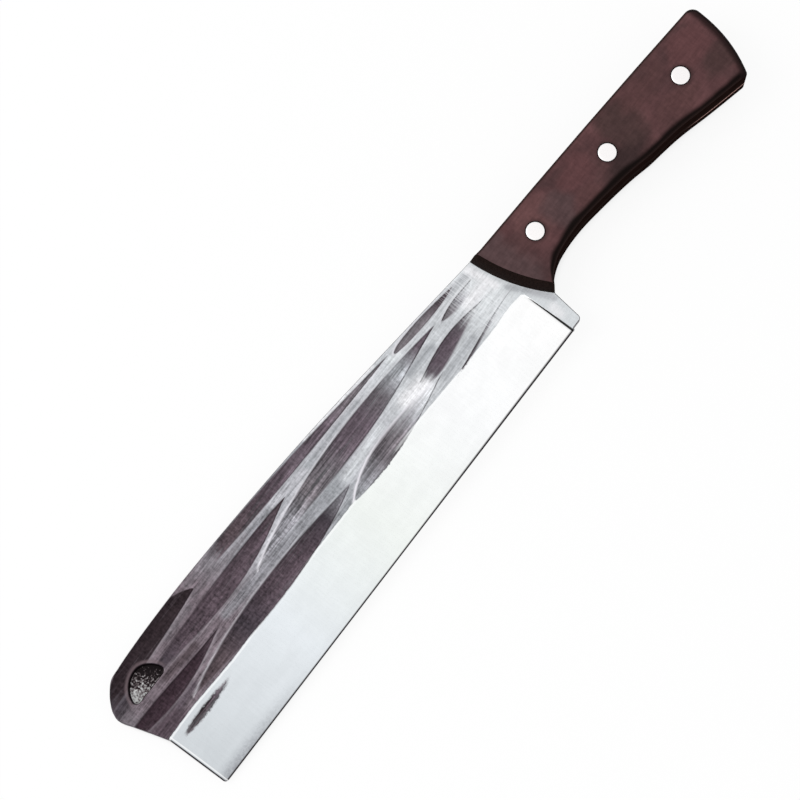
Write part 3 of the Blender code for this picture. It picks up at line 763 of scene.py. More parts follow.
def nearest_on(outline, points):
    """The nearest places on a closed outline."""
    a = np.asarray(outline)
    b = np.roll(a, -1, 0)
    d = b - a
    t = ((points[:, None] - a) * d).sum(-1) / np.maximum((d * d).sum(-1), 1e-12)
    q = a + np.clip(t, 0, 1)[..., None] * d
    k = ((points[:, None] - q) ** 2).sum(-1).argmin(1)
    return q[np.arange(len(points)), k]


def circle(x, y, radius, steps=HOLE_SIDES):
    turns = [2 * math.pi * k / steps for k in range(steps)]
    return np.array([(x + radius * math.cos(a), y + radius * math.sin(a)) for a in turns])


def open_holes(x, y, holes):
    """Takes the cells inside each hole out of the grid and draws their rim onto the hole's outline."""
    kept = np.ones((x.shape[0] - 1, x.shape[1] - 1), bool)
    rims = {}
    for outline in holes:
        cells = np.stack([(v[:-1, :-1] + v[1:, :-1] + v[:-1, 1:] + v[1:, 1:]) / 4 for v in (x, y)], -1)
        gone = inside_outline(cells, outline)
        kept &= ~gone
        touch_gone = np.zeros(x.shape, bool)
        touch_kept = np.zeros(x.shape, bool)
        for di in (0, 1):
            for dj in (0, 1):
                view = (slice(di, x.shape[0] - 1 + di), slice(dj, x.shape[1] - 1 + dj))
                touch_gone[view] |= gone
                touch_kept[view] |= ~gone
        rim = np.argwhere(touch_gone & touch_kept)
        spots = np.stack([x[tuple(rim.T)], y[tuple(rim.T)]], 1)
        wide = nearest_on(grown(outline, RIM_CHAMFER), spots)
        true = nearest_on(outline, wide)
        for (i, j), place, inner in zip(rim, wide, true):
            x[i, j], y[i, j] = place
            rims[(i, j)] = inner
    return kept, rims


def outer_ring(columns, rows):
    """The grid's rim, anticlockwise from its lower left corner."""
    bottom = [(i, 0) for i in range(columns)]
    right = [(columns - 1, j) for j in range(1, rows)]
    top = [(i, rows - 1) for i in range(columns - 2, -1, -1)]
    left = [(0, j) for j in range(rows - 2, 0, -1)]
    return bottom + right + top + left


class Walls:
    """The side walls that join the blade's two faces at its rims."""

    def __init__(self, index, sides):
        self.index = index
        self.heights = [side["height"] for side in sides]
        self.points = []
        self.known = {}
        self.polygons = []

    def rim_points(self, spot, place, chamfer):
        """Two points on the true outline, a chamfer below each face."""
        if spot not in self.known:
            first = 2 * self.index.size + len(self.points)
            left, right = (height[spot] for height in self.heights)
            self.points += [(*place, left - chamfer), (*place, chamfer - right)]
            self.known[spot] = (first, first + 1)
        return self.known[spot]

    def add(self, a, b):
        """The wall under the grid edge from a to b, each a spot with its place and chamfer."""
        al, ar = self.rim_points(*a)
        bl, br = self.rim_points(*b)
        fa, fb = int(self.index[a[0]]), int(self.index[b[0]])
        below = self.index.size
        self.polygons += [[fb, fa, al, bl], [bl, al, ar, br], [br, ar, fa + below, fb + below]]

    def close_rim(self, ring, outer, chamfers):
        corners = list(zip(ring, outer, chamfers))
        for a, b in zip(corners, corners[1:] + corners[:1]):
            self.add(a, b)

    def close_holes(self, kept, rims):
        gone = {tuple(cell) for cell in np.argwhere(~kept)}
        for i, j in gone:
            corners = [(i, j), (i + 1, j), (i + 1, j + 1), (i, j + 1)]
            beside = [(i, j - 1), (i + 1, j), (i, j + 1), (i - 1, j)]
            for k in range(4):
                if beside[k] not in gone:
                    b, a = corners[k], corners[(k + 1) % 4]
                    self.add((a, rims[a], RIM_CHAMFER), (b, rims[b], RIM_CHAMFER))


def add_hole_gap(side, x, y):
    """Fills in the distance from the hanging hole's outline, at the points near it."""
    hole = hole_outline()
    beside = np.hypot(x - hole[:, 0].mean(), y - hole[:, 1].mean()) < HOLE_LENGTH
    spots = np.stack([x[beside], y[beside]], 1)
    side["hole_gap"][beside] = np.hypot(*(nearest_on(hole, spots) - spots).T)


def store_fields(mesh, sides, rim_count, used):
    """Keeps what the finish follows as attributes of the mesh's points."""
    for name, (channels, _, on_rim) in FIELDS.items():
        faces = [side[name].reshape(field_shape((-1,), channels)) for side in sides]
        values = np.concatenate(faces + [np.full(field_shape((rim_count,), channels), on_rim)])[used]
        if channels == 3:
            values = np.hstack([values, np.ones((len(values), 1))])
        kind, key = ("FLOAT", "value") if channels == 1 else ("FLOAT_COLOR", "color")
        layer = mesh.attributes.new(name, kind, "POINT")
        layer.data.foreach_set(key, values.astype(np.float32).ravel())


def darken_edges(mesh, first_rim_point):
    """Gives the tang's edge and the wall of the hole the second material, painted dark as shade."""
    hole = hole_outline()
    low = to_world((*(hole.min(0) - HOLE_MARGIN), 0.0))
    high = to_world((*(hole.max(0) + HOLE_MARGIN), 0.0))
    tang_start = to_world((HEEL_BACK_REACH, 0.0, 0.0))[0]
    for face in mesh.polygons:
        if max(face.vertices) >= first_rim_point:
            x, y, _ = face.center
            in_hole = low[0] < x < high[0] and low[1] < y < high[1]
            if x > tang_start or in_hole:
                face.material_index = 1


def make_blade():
    x, y = blade_grid()
    holes = [hole_outline()] + [circle(*place, RIVET_HOLE_RADIUS) for place in rivet_places()]
    kept, rims = open_holes(x, y, holes)
    ring = outer_ring(*x.shape)
    outer = np.array([(x[spot], y[spot]) for spot in ring])
    edge_height = face_fields(outer[:, 0], outer[:, 1], LEFT_HOLLOWS)["height"]
    chamfers = np.minimum(RIM_CHAMFER, edge_height * MOST_CHAMFER)
    for spot, step, by in zip(ring, grown(outer, -1.0) - outer, chamfers):
        x[spot] += step[0] * by
        y[spot] += step[1] * by
    sides = [face_fields(x, y, hollows) for hollows in (LEFT_HOLLOWS, RIGHT_HOLLOWS)]
    for side in sides:
        add_hole_gap(side, x, y)

    index = np.arange(x.size).reshape(x.shape)
    quads = np.stack([index[:-1, :-1], index[1:, :-1], index[1:, 1:], index[:-1, 1:]], -1)[kept]
    walls = Walls(index, sides)
    walls.close_rim(ring, outer, chamfers)
    walls.close_holes(kept, rims)
    polygons = quads.tolist() + (quads[:, ::-1] + x.size).tolist() + walls.polygons
    left, right = (
        np.stack([x, y, side["height"] * out], -1).reshape(-1, 3) for side, out in zip(sides, (1, -1))
    )
    placed = np.concatenate([left, right, np.array(walls.points)])
    used = np.zeros(len(placed), bool)
    used[np.concatenate(polygons)] = True
    renumber = np.cumsum(used) - 1
    mesh = bpy.data.meshes.new("blade")
    mesh.from_pydata(to_world(placed[used]).tolist(), [], [[int(renumber[v]) for v in p] for p in polygons])
    mesh.validate()
    darken_edges(mesh, int(used[:2 * x.size].sum()))
    store_fields(mesh, sides, len(walls.points), used)
    smoothed(mesh, SHARP_ANGLES["blade"])
    for material in (steel_material(), shaded_edge_material()):
        mesh.materials.append(material)
    return as_piece(new_object("blade_forged", mesh), "blade_with_tang", slot="blade_steel")


# Handle scales


def mesh_from(work, name):
    """A named mesh from a finished bmesh, with its faces turned outwards."""
    bmesh.ops.recalc_face_normals(work, faces=work.faces)
    mesh = bpy.data.meshes.new(name)
    work.to_mesh(mesh)
    work.free()
    return mesh


def plate_mesh(name, outline, low, high, material_index=0):
    """A flat outline made solid between two heights, in the blade's frame."""
    work = bmesh.new()
    floor = [work.verts.new((p[0], p[1], low)) for p in outline]
    roof = [work.verts.new((p[0], p[1], high)) for p in outline]
    work.faces.new(floor[::-1])
    work.faces.new(roof)
    for k in range(len(outline)):
        n = (k + 1) % len(outline)
        work.faces.new((floor[k], floor[n], roof[n], roof[k]))
    for face in work.faces:
        face.material_index = material_index
    return mesh_from(work, name)


def settled(piece, leftovers=()):
    """The piece with its modifiers made part of its mesh."""
    bpy.context.view_layer.update()
    evaluated = piece.evaluated_get(bpy.context.evaluated_depsgraph_get())
    mesh = bpy.data.meshes.new_from_object(evaluated)
    piece.modifiers.clear()
    piece.data = mesh
    for item in leftovers:
        bpy.data.objects.remove(item, do_unlink=True)
    return piece


def scale_blank(word):
    """A scale with its rounded rim, still square at the front and without holes."""
    sides = [p for run in handle_runs() for p in run]
    low = Vector(sides[0]) - Vector((0.0, CUT_MARGIN / 2))
    outline = sides + [(FRONT_X - CUT_MARGIN, FRONT_HEIGHT), (FRONT_X - CUT_MARGIN, low.y), tuple(low)]
    mesh = plate_mesh(f"scale_{word}", outline, SCALE_FLOOR, HALF_HANDLE)
    weights = mesh.attributes.new("bevel_weight_edge", "FLOAT", "EDGE")
    tops = {v.index for v in mesh.vertices if v.co.z > HALF_HANDLE - 1e-3}
    for rim in mesh.edges:
        weights.data[rim.index].value = float(set(rim.vertices) <= tops)
    scale = new_object(f"handle_scale_{word}_wood", mesh)
    rounding = scale.modifiers.new("rounding", "BEVEL")
    rounding.limit_method = "WEIGHT"
    rounding.width = EDGE_ROUNDING
    rounding.segments = ROUNDING_STEPS
    rounding.use_clamp_overlap = False
    return scale


def scale_cutters():
    """What is cut off a scale: its bevelled front, and a shank hole and a head's seat for each rivet."""
    floor = SCALE_FLOOR - CUT_MARGIN
    roof = HALF_HANDLE + CUT_MARGIN
    arc = front_arc(2 * CUT_MARGIN)
    far = FRONT_X - 4 * CUT_MARGIN
    front = plate_mesh("front", arc + [(far, arc[-1][1]), (far, arc[0][1])], floor, roof, 1)
    for vertex in front.vertices:
        vertex.co.x += FRONT_BEVEL / (HALF_HANDLE - SCALE_FLOOR) * (vertex.co.z - SCALE_FLOOR)
    cutters = [front]
    for place in rivet_places():
        seat = circle(*place, RIVET_HEAD_RADIUS + RIVET_SEAT_GAP, RIVET_SIDES)
        cutters.append(plate_mesh("shank", circle(*place, RIVET_HOLE_RADIUS), floor, roof, 1))
        cutters.append(plate_mesh("seat", seat, HALF_HANDLE - RIVET_SEAT_DEPTH, roof, 1))
    return [new_object("cutter", mesh) for mesh in cutters]


def make_scale(word, side, woods):
    """One scale, drawn on the left side and turned over for the right one."""
    scale = scale_blank(word)
    for wood in woods:
        scale.data.materials.append(wood)
    cutters = scale_cutters()
    for cutter in cutters:
        cut = scale.modifiers.new("cut", "BOOLEAN")
        cut.operation = "DIFFERENCE"
        cut.solver = "MANIFOLD"
        cut.object = cutter
    settled(scale, cutters)
    soften = scale.modifiers.new("soften", "BEVEL")
    soften.width = SOFTENING
    soften.segments = SOFTENING_STEPS
    soften.limit_method = "ANGLE"
    soften.angle_limit = math.radians(SOFTENING_ANGLE)
    soften.use_clamp_overlap = True
    mesh = settled(scale).data
    # Faces low on the rounded rim and the side walls take the third wood, painted dark as shade.
    for face in mesh.polygons:
        if face.material_index == 0 and face.center.z < HALF_HANDLE - EDGE_ROUNDING * WALL_START:
            face.material_index = 2
    mesh.transform(BLADE_TO_WORLD @ Matrix.Scale(side, 4, Vector((0, 0, 1))))
    if side < 0:
        mesh.flip_normals()
    smoothed(mesh, SHARP_ANGLES["scale"])
    for face in mesh.polygons:
        if abs(face.normal.z) > FLAT_FACING:
            face.use_smooth = False
    return as_piece(scale, f"handle_scale_{word}", slot="handle_wood")


# Rivets


def turned_mesh(name, profile):
    """A closed round body from a profile of (radius, height) points, top to bottom."""
    work = bmesh.new()
    rings = []
    for radius, height in profile:
        spots = circle(0.0, 0.0, radius, RIVET_SIDES) if radius > 1e-6 else [(0.0, 0.0)]
        rings.append([work.verts.new((x, y, height)) for x, y in spots])
    for above, below in zip(rings, rings[1:]):
        for k in range(RIVET_SIDES):
            n = (k + 1) % RIVET_SIDES
            corners = [(above, k), (below, k), (below, n), (above, n)]
            unique = list(dict.fromkeys(ring[at % len(ring)] for ring, at in corners))
            if len(unique) > 2:
                work.faces.new(unique)
    return mesh_from(work, name)


def soft_head(radius, top, down):
    """A head's profile from its middle out: a trace of dome and a rounded rim."""
    flat = radius - RIVET_RIM
    edge = top - RIVET_DOME
    profile = [(0.0, top)] + [(radius * share, top - drop) for share, drop in RIVET_DOME_SHARES]
    profile.append((flat, edge))
    for k in range(1, RIVET_RIM_STEPS + 1):
        turn = math.pi / 2 * k / RIVET_RIM_STEPS
        profile.append((flat + RIVET_RIM * math.sin(turn), edge - RIVET_RIM * (1 - math.cos(turn))))
    return profile + [(radius, down)]


def make_rivet(word, place, metal):
    """A rivet's sleeve, with its head in the left scale, and its post, with its head in the right one."""
    seat = HALF_HANDLE - RIVET_HEAD_THICKNESS
    foot = seat - RIVET_END_GAP
    head = soft_head(RIVET_HEAD_RADIUS, HALF_HANDLE, seat)
    bore = [(SLEEVE_RADIUS, seat), (SLEEVE_RADIUS, -foot), (SLEEVE_BORE, -foot)]
    bore += [(SLEEVE_BORE, seat), (0.0, seat)]
    pin = [(POST_RADIUS, -seat), (POST_RADIUS, foot), (0.0, foot)]
    for kind, profile in (("sleeve", head + bore), ("post", [(r, -h) for r, h in head] + pin)):
        mesh = turned_mesh(f"rivet_{kind}", profile)
        mesh.transform(BLADE_TO_WORLD @ Matrix.Translation((*place, 0.0)))
        mesh.materials.append(metal)
        smoothed(mesh, SHARP_ANGLES["rivet"])
        as_piece(new_object(f"rivet_{kind}_{word}_metal", mesh), f"rivet_{kind}_{word}", slot="rivet_metal")


# Materials


def srgb(*tone):
    """A colour written as 0 to 255 in sRGB, as a shader takes it."""
    return (*linear(tone).tolist(), 1.0)


def steel_colour(*tone):
    return (*steel_tone(tone).tolist(), 1.0)


class Signal:
    """The output of a node. A number's output can be reckoned with like a plain number."""

    def __init__(self, nodes, socket):
        self.nodes = nodes
        self.socket = socket

    def __add__(self, other):
        return self.nodes.math("ADD", self, other)

    __radd__ = __add__

    def __sub__(self, other):
        return self.nodes.math("SUBTRACT", self, other)

    def __rsub__(self, other):
        return self.nodes.math("SUBTRACT", other, self)

    def __mul__(self, other):
        return self.nodes.math("MULTIPLY", self, other)

    def __truediv__(self, other):
        return self.nodes.math("DIVIDE", self, other)

    def clamped(self):
        self.socket.node.use_clamp = True
        return self


class Nodes:
    """The node tree of a material or a world, with short calls for the nodes used here."""

    def __init__(self, owner):
        owner.use_nodes = True
        self.owner = owner
        self.tree = owner.node_tree

    def put(self, socket, value):
        if isinstance(value, Signal):
            self.tree.links.new(value.socket, socket)
        else:
            socket.default_value = value

    def node(self, kind, output, inputs, **settings):
        """One output of a new node, made with these settings and inputs."""
        made = self.tree.nodes.new(f"ShaderNode{kind}")
        for name, value in settings.items():
            setattr(made, name, value)
        for key, value in inputs.items():
            self.put(made.inputs[key], value)
        return Signal(self, made.outputs[output])

    def finished(self, inputs, name="Principled BSDF"):
        """The material or world, once the inputs of its main node are set."""
        for key, value in inputs.items():
            self.put(self.tree.nodes[name].inputs[key], value)
        return self.owner

    def math(self, operation, *values):
        return self.node("Math", 0, dict(enumerate(values)), operation=operation)

    def larger(self, a, b):
        return self.math("MAXIMUM", a, b)

    def step(self, value, low, high, to_low=0.0, to_high=1.0):
        """A smooth change from to_low to to_high as value goes from low to high."""
        inputs = dict(enumerate((value, low, high, to_low, to_high)))
        return self.node("MapRange", 0, inputs, interpolation_type="SMOOTHSTEP")

    def line(self, value, centre, width):
        """1 where value is at the centre, 0 a width away."""
        return self.step(self.math("ABSOLUTE", value - centre), 0.0, width, 1.0, 0.0)

    def mix(self, factor, a, b):
        return self.node("Mix", 2, {0: factor, 6: a, 7: b}, data_type="RGBA")

    def paint(self, colour, *coats):
        """The colour with coats of (how much, tone) laid over it."""
        for much, tone in coats:
            colour = self.mix(much, colour, srgb(*tone))
        return colour

    def attribute(self, name, output="Fac"):
        return self.node("Attribute", output, {}, attribute_name=name)

    def place(self):
        """Position in millimetres in the part's frame."""
        place = self.node("TexCoord", "Object", {})
        return self.node("VectorMath", 0, {0: place, "Scale": 1 / METRES}, operation="SCALE")

    def split(self, kind, value):
        """The parts of a vector or a colour."""
        first = self.node(f"Separate{kind}", 0, {0: value})
        return [Signal(self, output) for output in first.socket.node.outputs]

    def from_blade(self, where):
        """How far along, up and out of the blade's own origin a place lies."""
        return [part - home / METRES for part, home in zip(self.split("XYZ", where), HOME)]

    def noise(self, where, stretch, scale, detail, roughness=0.5):
        """Noise that runs faster along, up and out by the stretch."""
        inputs = {
            "Vector": self.node("VectorMath", 0, {0: where, 1: stretch}, operation="MULTIPLY"),
            "Scale": scale,
            "Detail": detail,
            "Roughness": roughness,
        }
        return self.node("TexNoise", "Fac", inputs)

    def noises(self, where, table):
        return SimpleNamespace(**{name: self.noise(where, *row) for name, row in table.items()})

    def ramp(self, value, stops):
        shown = self.node("ValToRGB", "Color", {0: value})
        elements = shown.socket.node.color_ramp.elements
        while len(elements) < len(stops):
            elements.new(0.5)
        for element, (position, colour) in zip(elements, stops):
            element.position = position
            element.color = srgb(*colour)
        return shown

    def curve(self, value, points, low, high):
        """A smooth curve through (x, y) points, taken at value, between two corners of its field."""
        width, height = high[0] - low[0], high[1] - low[1]
        shown = self.node("FloatCurve", "Value", {"Value": (value - low[0]) / width})
        mapping = shown.socket.node.mapping
        places = [((x - low[0]) / width, (y - low[1]) / height) for x, y in points]
        line = mapping.curves[0].points
        line[0].location = places[0]
        line[1].location = places[-1]
        for place in places[1:-1]:
            line.new(*place)
        mapping.update()
        return shown * height + low[1]

    def bump(self, height, strength, distance):
        return self.node("Bump", "Normal", {"Height": height, "Strength": strength, "Distance": distance})

    def shade(self, colour, factor):
        """A colour made lighter or darker by a factor."""
        plain = colour[:3] if isinstance(colour, tuple) else colour
        return self.node("VectorMath", 0, {0: plain, "Scale": factor}, operation="SCALE")

    def dapple(self, colour, value, low, high, darkest, lightest):
        """A colour shaded from darkest to lightest as value goes from low to high."""
        return self.shade(colour, self.step(value, low, high, darkest, lightest))

    def spot(self, along, up, centre, length, height, uneven):
        """1 about a centre, fading out at an ellipse round it."""
        across = (along - centre[0]) / length
        above = (up - centre[1]) / height
        return self.step(across * across + above * above + uneven, 0.25, 1.3, 1.0, 0.0)

    def sway(self, *parts):
        """The sum of (noise, weight) pairs, each swinging about nothing."""
        return sum((noise - 0.5) * weight for noise, weight in parts)

    def uneven(self, sway, strength):
        """A factor about 1 that swings by a sway, never far below or above."""
        return self.math("MINIMUM", self.larger(sway * strength + 1.0, 0.3), 1.9)

    def seen_directly(self):
        """1 for rays that show a surface, directly or mirrored, and 0 for those that light one."""
        rays = [self.node("LightPath", f"Is {kind} Ray", {}) for kind in ("Camera", "Glossy", "Transmission")]
        return self.larger(self.larger(rays[0], rays[1]), rays[2])


# Textures: stretch along, up and out, then scale, detail and roughness
STEEL_NOISES = {
    "streak": ((0.045, 0.9, 1.0), 1.0, 2.0, 0.6),
    "hair": ((0.10, 1.5, 1.0), 1.0, 1.0),
    "upright": ((1.3, 0.12, 1.0), 1.0, 2.0, 0.6),
    "fine": ((2.0, 0.07, 1.0), 1.0, 2.0, 0.6),
    "stipple": ((1.0, 1.0, 1.0), 0.85, 2.0, 0.6),
    "cloud": ((0.6, 1.3, 1.0), 0.1, 3.0, 0.6),
    "waver": ((1.0, 1.0, 1.0), 0.5, 3.0),
}
WOOD_NOISES = {
    "blotch": ((0.070, 0.085, 0.08), 1.0, 1.0),
    "patch": ((0.085, 0.11, 0.08), 1.0, 2.0),
    "fibre": ((0.08, 1.0, 1.0), 1.0, 2.0, 0.6),
    "weave": ((1.0, 0.25, 0.25), 1.0, 2.0, 0.6),
    "pores": ((0.35, 2.2, 2.2), 1.0, 3.0, 0.7),
    "mottle": ((0.3, 0.5, 0.5), 1.0, 3.0, 0.6),
    "sawn": ((1.0, 1.0, 1.0), 1.4, 3.0, 0.7),
}


def steel_fields(s):
    """What the steel's finish follows: places, fields stored with the mesh, and textures."""
    where = s.place()
    f = s.noises(where, STEEL_NOISES)
    f.along, f.up, _ = s.from_blade(where)
    for name in ("hollow", "across", "fill", "blur", "grain", "above_grind", "plunge", "hole_gap", "rim"):
        setattr(f, name, s.attribute(name))
    f.light_up, f.dark_up, f.dark_low = s.split("Color", s.attribute("hollow_edge_light_and_shade", "Color"))
    f.light_low = s.attribute("hollow_edge_light_and_shade", "Alpha")
    f.above = s.step(f.across, -0.3, 0.3)
    f.below = 1.0 - f.above
    f.wander = (f.stipple - 0.5) * 0.8
    return f


def ridge_colour(s, f):
    """Brushed steel between the hollows, with a painted highlight where it turns down into one."""
    rough = s.step(f.along, -150.0, -60.0, 0.85, 0.40) * s.step(f.along, -8.0, -2.0, 1.0, 0.5)
    rough = rough * s.step(f.up, 18.0, 24.0, 0.5, 1.0)
    sway = s.sway((f.streak, 1.4), (f.hair, 1.6), (f.stipple, 1.5), (f.upright, 0.8), (f.cloud, 0.9))
    ridge = s.shade(s.attribute("ridge_tone", "Color"), s.uneven(sway, rough))
    outside = f.hollow + f.wander * 0.5
    near = s.math("POWER", s.step(outside, -2.6, -0.1), 3.0)
    crest = s.line(outside, -0.35, 0.7) * f.above
    strength = (f.above * f.light_up + f.below * f.light_low) * s.step(f.streak, 0.3, 0.6, 0.6, 1.15)
    painted_highlight = ((near * 0.45 + crest * 0.4) * strength).clamped()
    return s.mix(painted_highlight, ridge, steel_colour(230, 228, 234))


def hollow_colour(s, f):
    """The scale left in the hollows, streaked and stippled, and painted lighter below and darker above as
    shade.
    """
    streaks = s.uneven(s.sway((f.streak, 2.6), (f.hair, 1.6)), f.grain)
    tone = s.shade(s.attribute("hollow_tone", "Color"), streaks)
    sway = s.sway((f.stipple, 1.8), (f.upright, 1.0), (f.cloud, 0.8))
    tone = s.shade(tone, s.uneven(sway, s.step(f.along, -150.0, -60.0, 1.0, 0.6)))
    return s.dapple(tone, f.across, -1.0, 1.0, 1.08, 0.93)


def hollow_cover(s, f):
    """How far the hollows' tone covers the steel: softly at their sides and raggedly at their ends."""
    reach = f.hollow + f.wander * s.step(f.up, 24.5, 23.0, 0.45, 2.0)
    broken = s.step(f.fill + (f.streak - 0.5) * 1.4, 0.1, 0.95)
    return s.step(reach, f.blur * -0.7, f.blur * 0.7) * broken


def forged_colour(s, f, cover):
    forged = s.mix(cover, ridge_colour(s, f), hollow_colour(s, f))
    # Painted shade lines just inside the hollows' edges.
    edge_shade = (f.above * f.dark_up + f.below * f.dark_low) * s.line(f.hollow, 0.22, 0.42)
    edge_shade = (edge_shade * s.step(f.stipple, 0.3, 0.55, 0.5, 1.0)).clamped()
    forged = s.mix(edge_shade * 0.8, forged, steel_colour(40, 34, 38))
    near_handle = s.step(f.along, -27.0, -13.0) * s.step(f.along, -3.0, -9.0)
    return s.mix(near_handle * s.step(f.fine, 0.40, 0.64) * 0.55, forged, steel_colour(240, 241, 244))


def ground_colour(s, f, wavy):
    """Grind brighter towards the handle, darker at its foot, edged with painted shade and highlight lines."""
    ground = s.ramp((f.along - TIP_X) / -TIP_X, (
        (0.03, (203, 208, 212)), (0.28, (226, 231, 235)), (0.52, (238, 242, 239)),
        (0.76, (248, 249, 250)), (1.0, (253, 253, 253)),
    ))
    ground = s.dapple(ground, f.cloud, 0.35, 0.65, 0.98, 1.02)
    ground = s.dapple(ground, f.upright, 0.35, 0.65, 0.99, 1.01)
    foot = s.step(f.up, 6.0, 0.5) * s.step(f.along, -150.0, -205.0) * s.step(f.stipple, 0.36, 0.64, 0.5, 0.8)
    # A dark line along the cutting edge: its narrow bevel, darkened further as painted shade.
    keen = s.line(f.up, 0.2, s.step(f.along, -110.0, -30.0, 0.65, 1.0))
    lean = s.math("POWER", (f.up / GRIND_HEIGHT).clamped(), 2.0) * TIP_LEAN
    from_tip = f.along - TIP_X + lean
    # Over the grind: the darker foot and the edge line, a painted highlight and a painted shade line along
    # the tip's end, and a painted highlight along the top of the grind.
    return s.paint(
        ground,
        (foot, (146, 148, 154)),
        ((keen * 1.2).clamped(), (44, 40, 42)),
        (s.line(from_tip, 1.15, 0.45) * 0.7, (252, 252, 252)),
        (s.step(from_tip, 0.75, 0.35), (22, 20, 22)),
        (s.line(wavy, -0.5, 0.6) * 0.6, (251, 252, 253)),
    )


def marked(s, f, colour):
    """Painted shadow and a shade line at the plunge, painted shade on the hole's rim, and a lighter brown
    ring round it.
    """
    shadow = s.step(f.plunge, -1.5, -0.2) * s.step(f.plunge, 0.05, -0.05) * s.step(f.up, 23.0, 18.0)
    colour = s.mix(shadow * 0.3, colour, steel_colour(140, 140, 144))
    # The plunge's dark line, painted shade.
    groove_shade = s.line(f.plunge, -0.28, s.step(f.up, 2.0, 20.0, 0.46, 0.24))
    groove_shade = (groove_shade * 2.2).clamped() * s.step(f.up, 22.0, 17.0)
    colour = s.mix(groove_shade, colour, steel_colour(2, 2, 2))
    halo = s.line(f.hole_gap, 1.0, 1.1) * s.step(f.up, HOLE_FLOOR, HOLE_FLOOR + 3.0)
    colour = s.mix(halo * 0.55, colour, steel_colour(112, 98, 102))
    # Painted shade on the hole's rim, open at its floor.
    ring = s.step(f.hole_gap, 0.65, 0.2) * s.step(f.up, HOLE_FLOOR, HOLE_FLOOR + 1.5)
    return s.mix(ring * 0.95, colour, steel_colour(26, 20, 24))


def steel_material():
    """Forged steel with dark hollows between brushed ridges, over a bright grind."""
    s = Nodes(bpy.data.materials.new("forged_steel"))
    f = steel_fields(s)
    cover = hollow_cover(s, f)
    wavy = f.above_grind + (f.waver - 0.5) * 0.5
    is_forged = s.larger(s.step(wavy, -0.14, 0.14), cover)
    colour = s.mix(is_forged, ground_colour(s, f, wavy), forged_colour(s, f, cover))
    on_wall = s.step(f.rim, 0.1, 0.5)
    side = s.dapple(srgb(112, 107, 111), f.stipple, 0.36, 0.64, 0.8, 1.2)
    relief = (f.streak * 0.6 + f.stipple * 0.5) * (is_forged * 0.85 + 0.15)
    return s.finished({
        "Base Color": s.mix(on_wall, marked(s, f, colour), side),
        "Metallic": on_wall * -0.8 + 0.96,
        "Roughness": is_forged * (cover * 0.12 + 0.14) + 0.24,
        "Specular IOR Level": 0.2,
        "Normal": s.bump(relief, 0.4, 0.00010),
    })


def shaded_edge_material():
    """The tang's edge between the scales and the wall of the hole, dull and painted dark as shade."""
    s = Nodes(bpy.data.materials.new("shaded_edge"))
    where = s.place()
    along, up, out = s.from_blade(where)
    scratches = s.noise(where, (0.2, 1.0, 2.5), 1.0, 3.0, 0.6)
    pale = s.step(along, 84.0, 97.0) * s.step(out, HALF_BLADE * -0.2, HALF_BLADE * -0.6)
    colour = s.mix(pale, srgb(34, 25, 23), srgb(186, 148, 140))
    bare = s.larger(s.step(up, 27.0, 31.0), s.step(along, 113.0, 114.5))
    colour = s.mix(bare, colour, srgb(128, 123, 126))
    colour = s.mix(s.step(along, -150.0, 0.0), srgb(22, 17, 19), colour)
    return s.finished({
        "Base Color": s.dapple(colour, scratches, 0.32, 0.68, 0.7, 1.3),
        "Roughness": s.step(scratches, 0.3, 0.7, 0.75, 0.9),
        "Specular IOR Level": 0.0,
        "Normal": s.bump(scratches, 0.3, 0.00005),
    })


# The wood's tones
BARK = (56, 42, 42)
BROWN = (71, 53, 52)
ASH_RED = (83, 65, 66)
DULL_RED = (87, 60, 60)
RED = (94, 63, 64)
BRIGHT_RED = (101, 70, 70)

# Soft spots on the wood's flats: centre, half length, half height, tone and strength
WOOD_SPOTS = (
    ((4.0, 32.0), 9.0, 16.0, ASH_RED, 0.9),
    ((23.0, 36.0), 11.0, 8.0, BRIGHT_RED, 0.9),
    ((32.0, 30.0), 7.0, 9.0, ASH_RED, 0.8),
    ((45.0, 35.0), 9.0, 6.0, RED, 0.8),
    ((41.0, 24.5), 9.0, 5.0, DULL_RED, 0.8),
    ((62.0, 22.5), 16.0, 5.5, BARK, 0.95),
    ((71.0, 31.0), 9.0, 12.0, BROWN, 0.9),
    ((88.0, 20.0), 12.0, 6.0, DULL_RED, 0.8),
    ((86.0, 34.0), 12.0, 6.0, DULL_RED, 0.7),
    ((110.0, 30.0), 9.0, 7.0, RED, 0.9),
    ((113.0, 17.0), 9.0, 6.0, BROWN, 0.8),
)
RIVET_SHADE_SHIFT = 0.25
RIVET_SHADE_REACH = 4.7
# How much each kind of wooden surface shines
WOOD_SHINE = {"flat": 0.05, "end": 0.02, "wall": 0.0}


def curve_points(run, count=12):
    """Points evenly spread along X on a run."""
    places = np.linspace(run[0][0], run[-1][0], count)
    return [(float(x), height_at(run, float(x))) for x in places]


def handle_distances(s, along, up):
    """How far inside the handle's under side, upper side and butt a place lies."""
    low = (FRONT_X, -2.0)
    high = (BUTT_X, 46.0)
    under = s.curve(along, curve_points(belly()), low, high)
    over = s.curve(along, curve_points(sorted(handle_spine())), low, high)
    end = s.curve(up, [(y, x) for x, y in butt()], low[::-1], high[::-1])
    return up - under, over - up, end - along


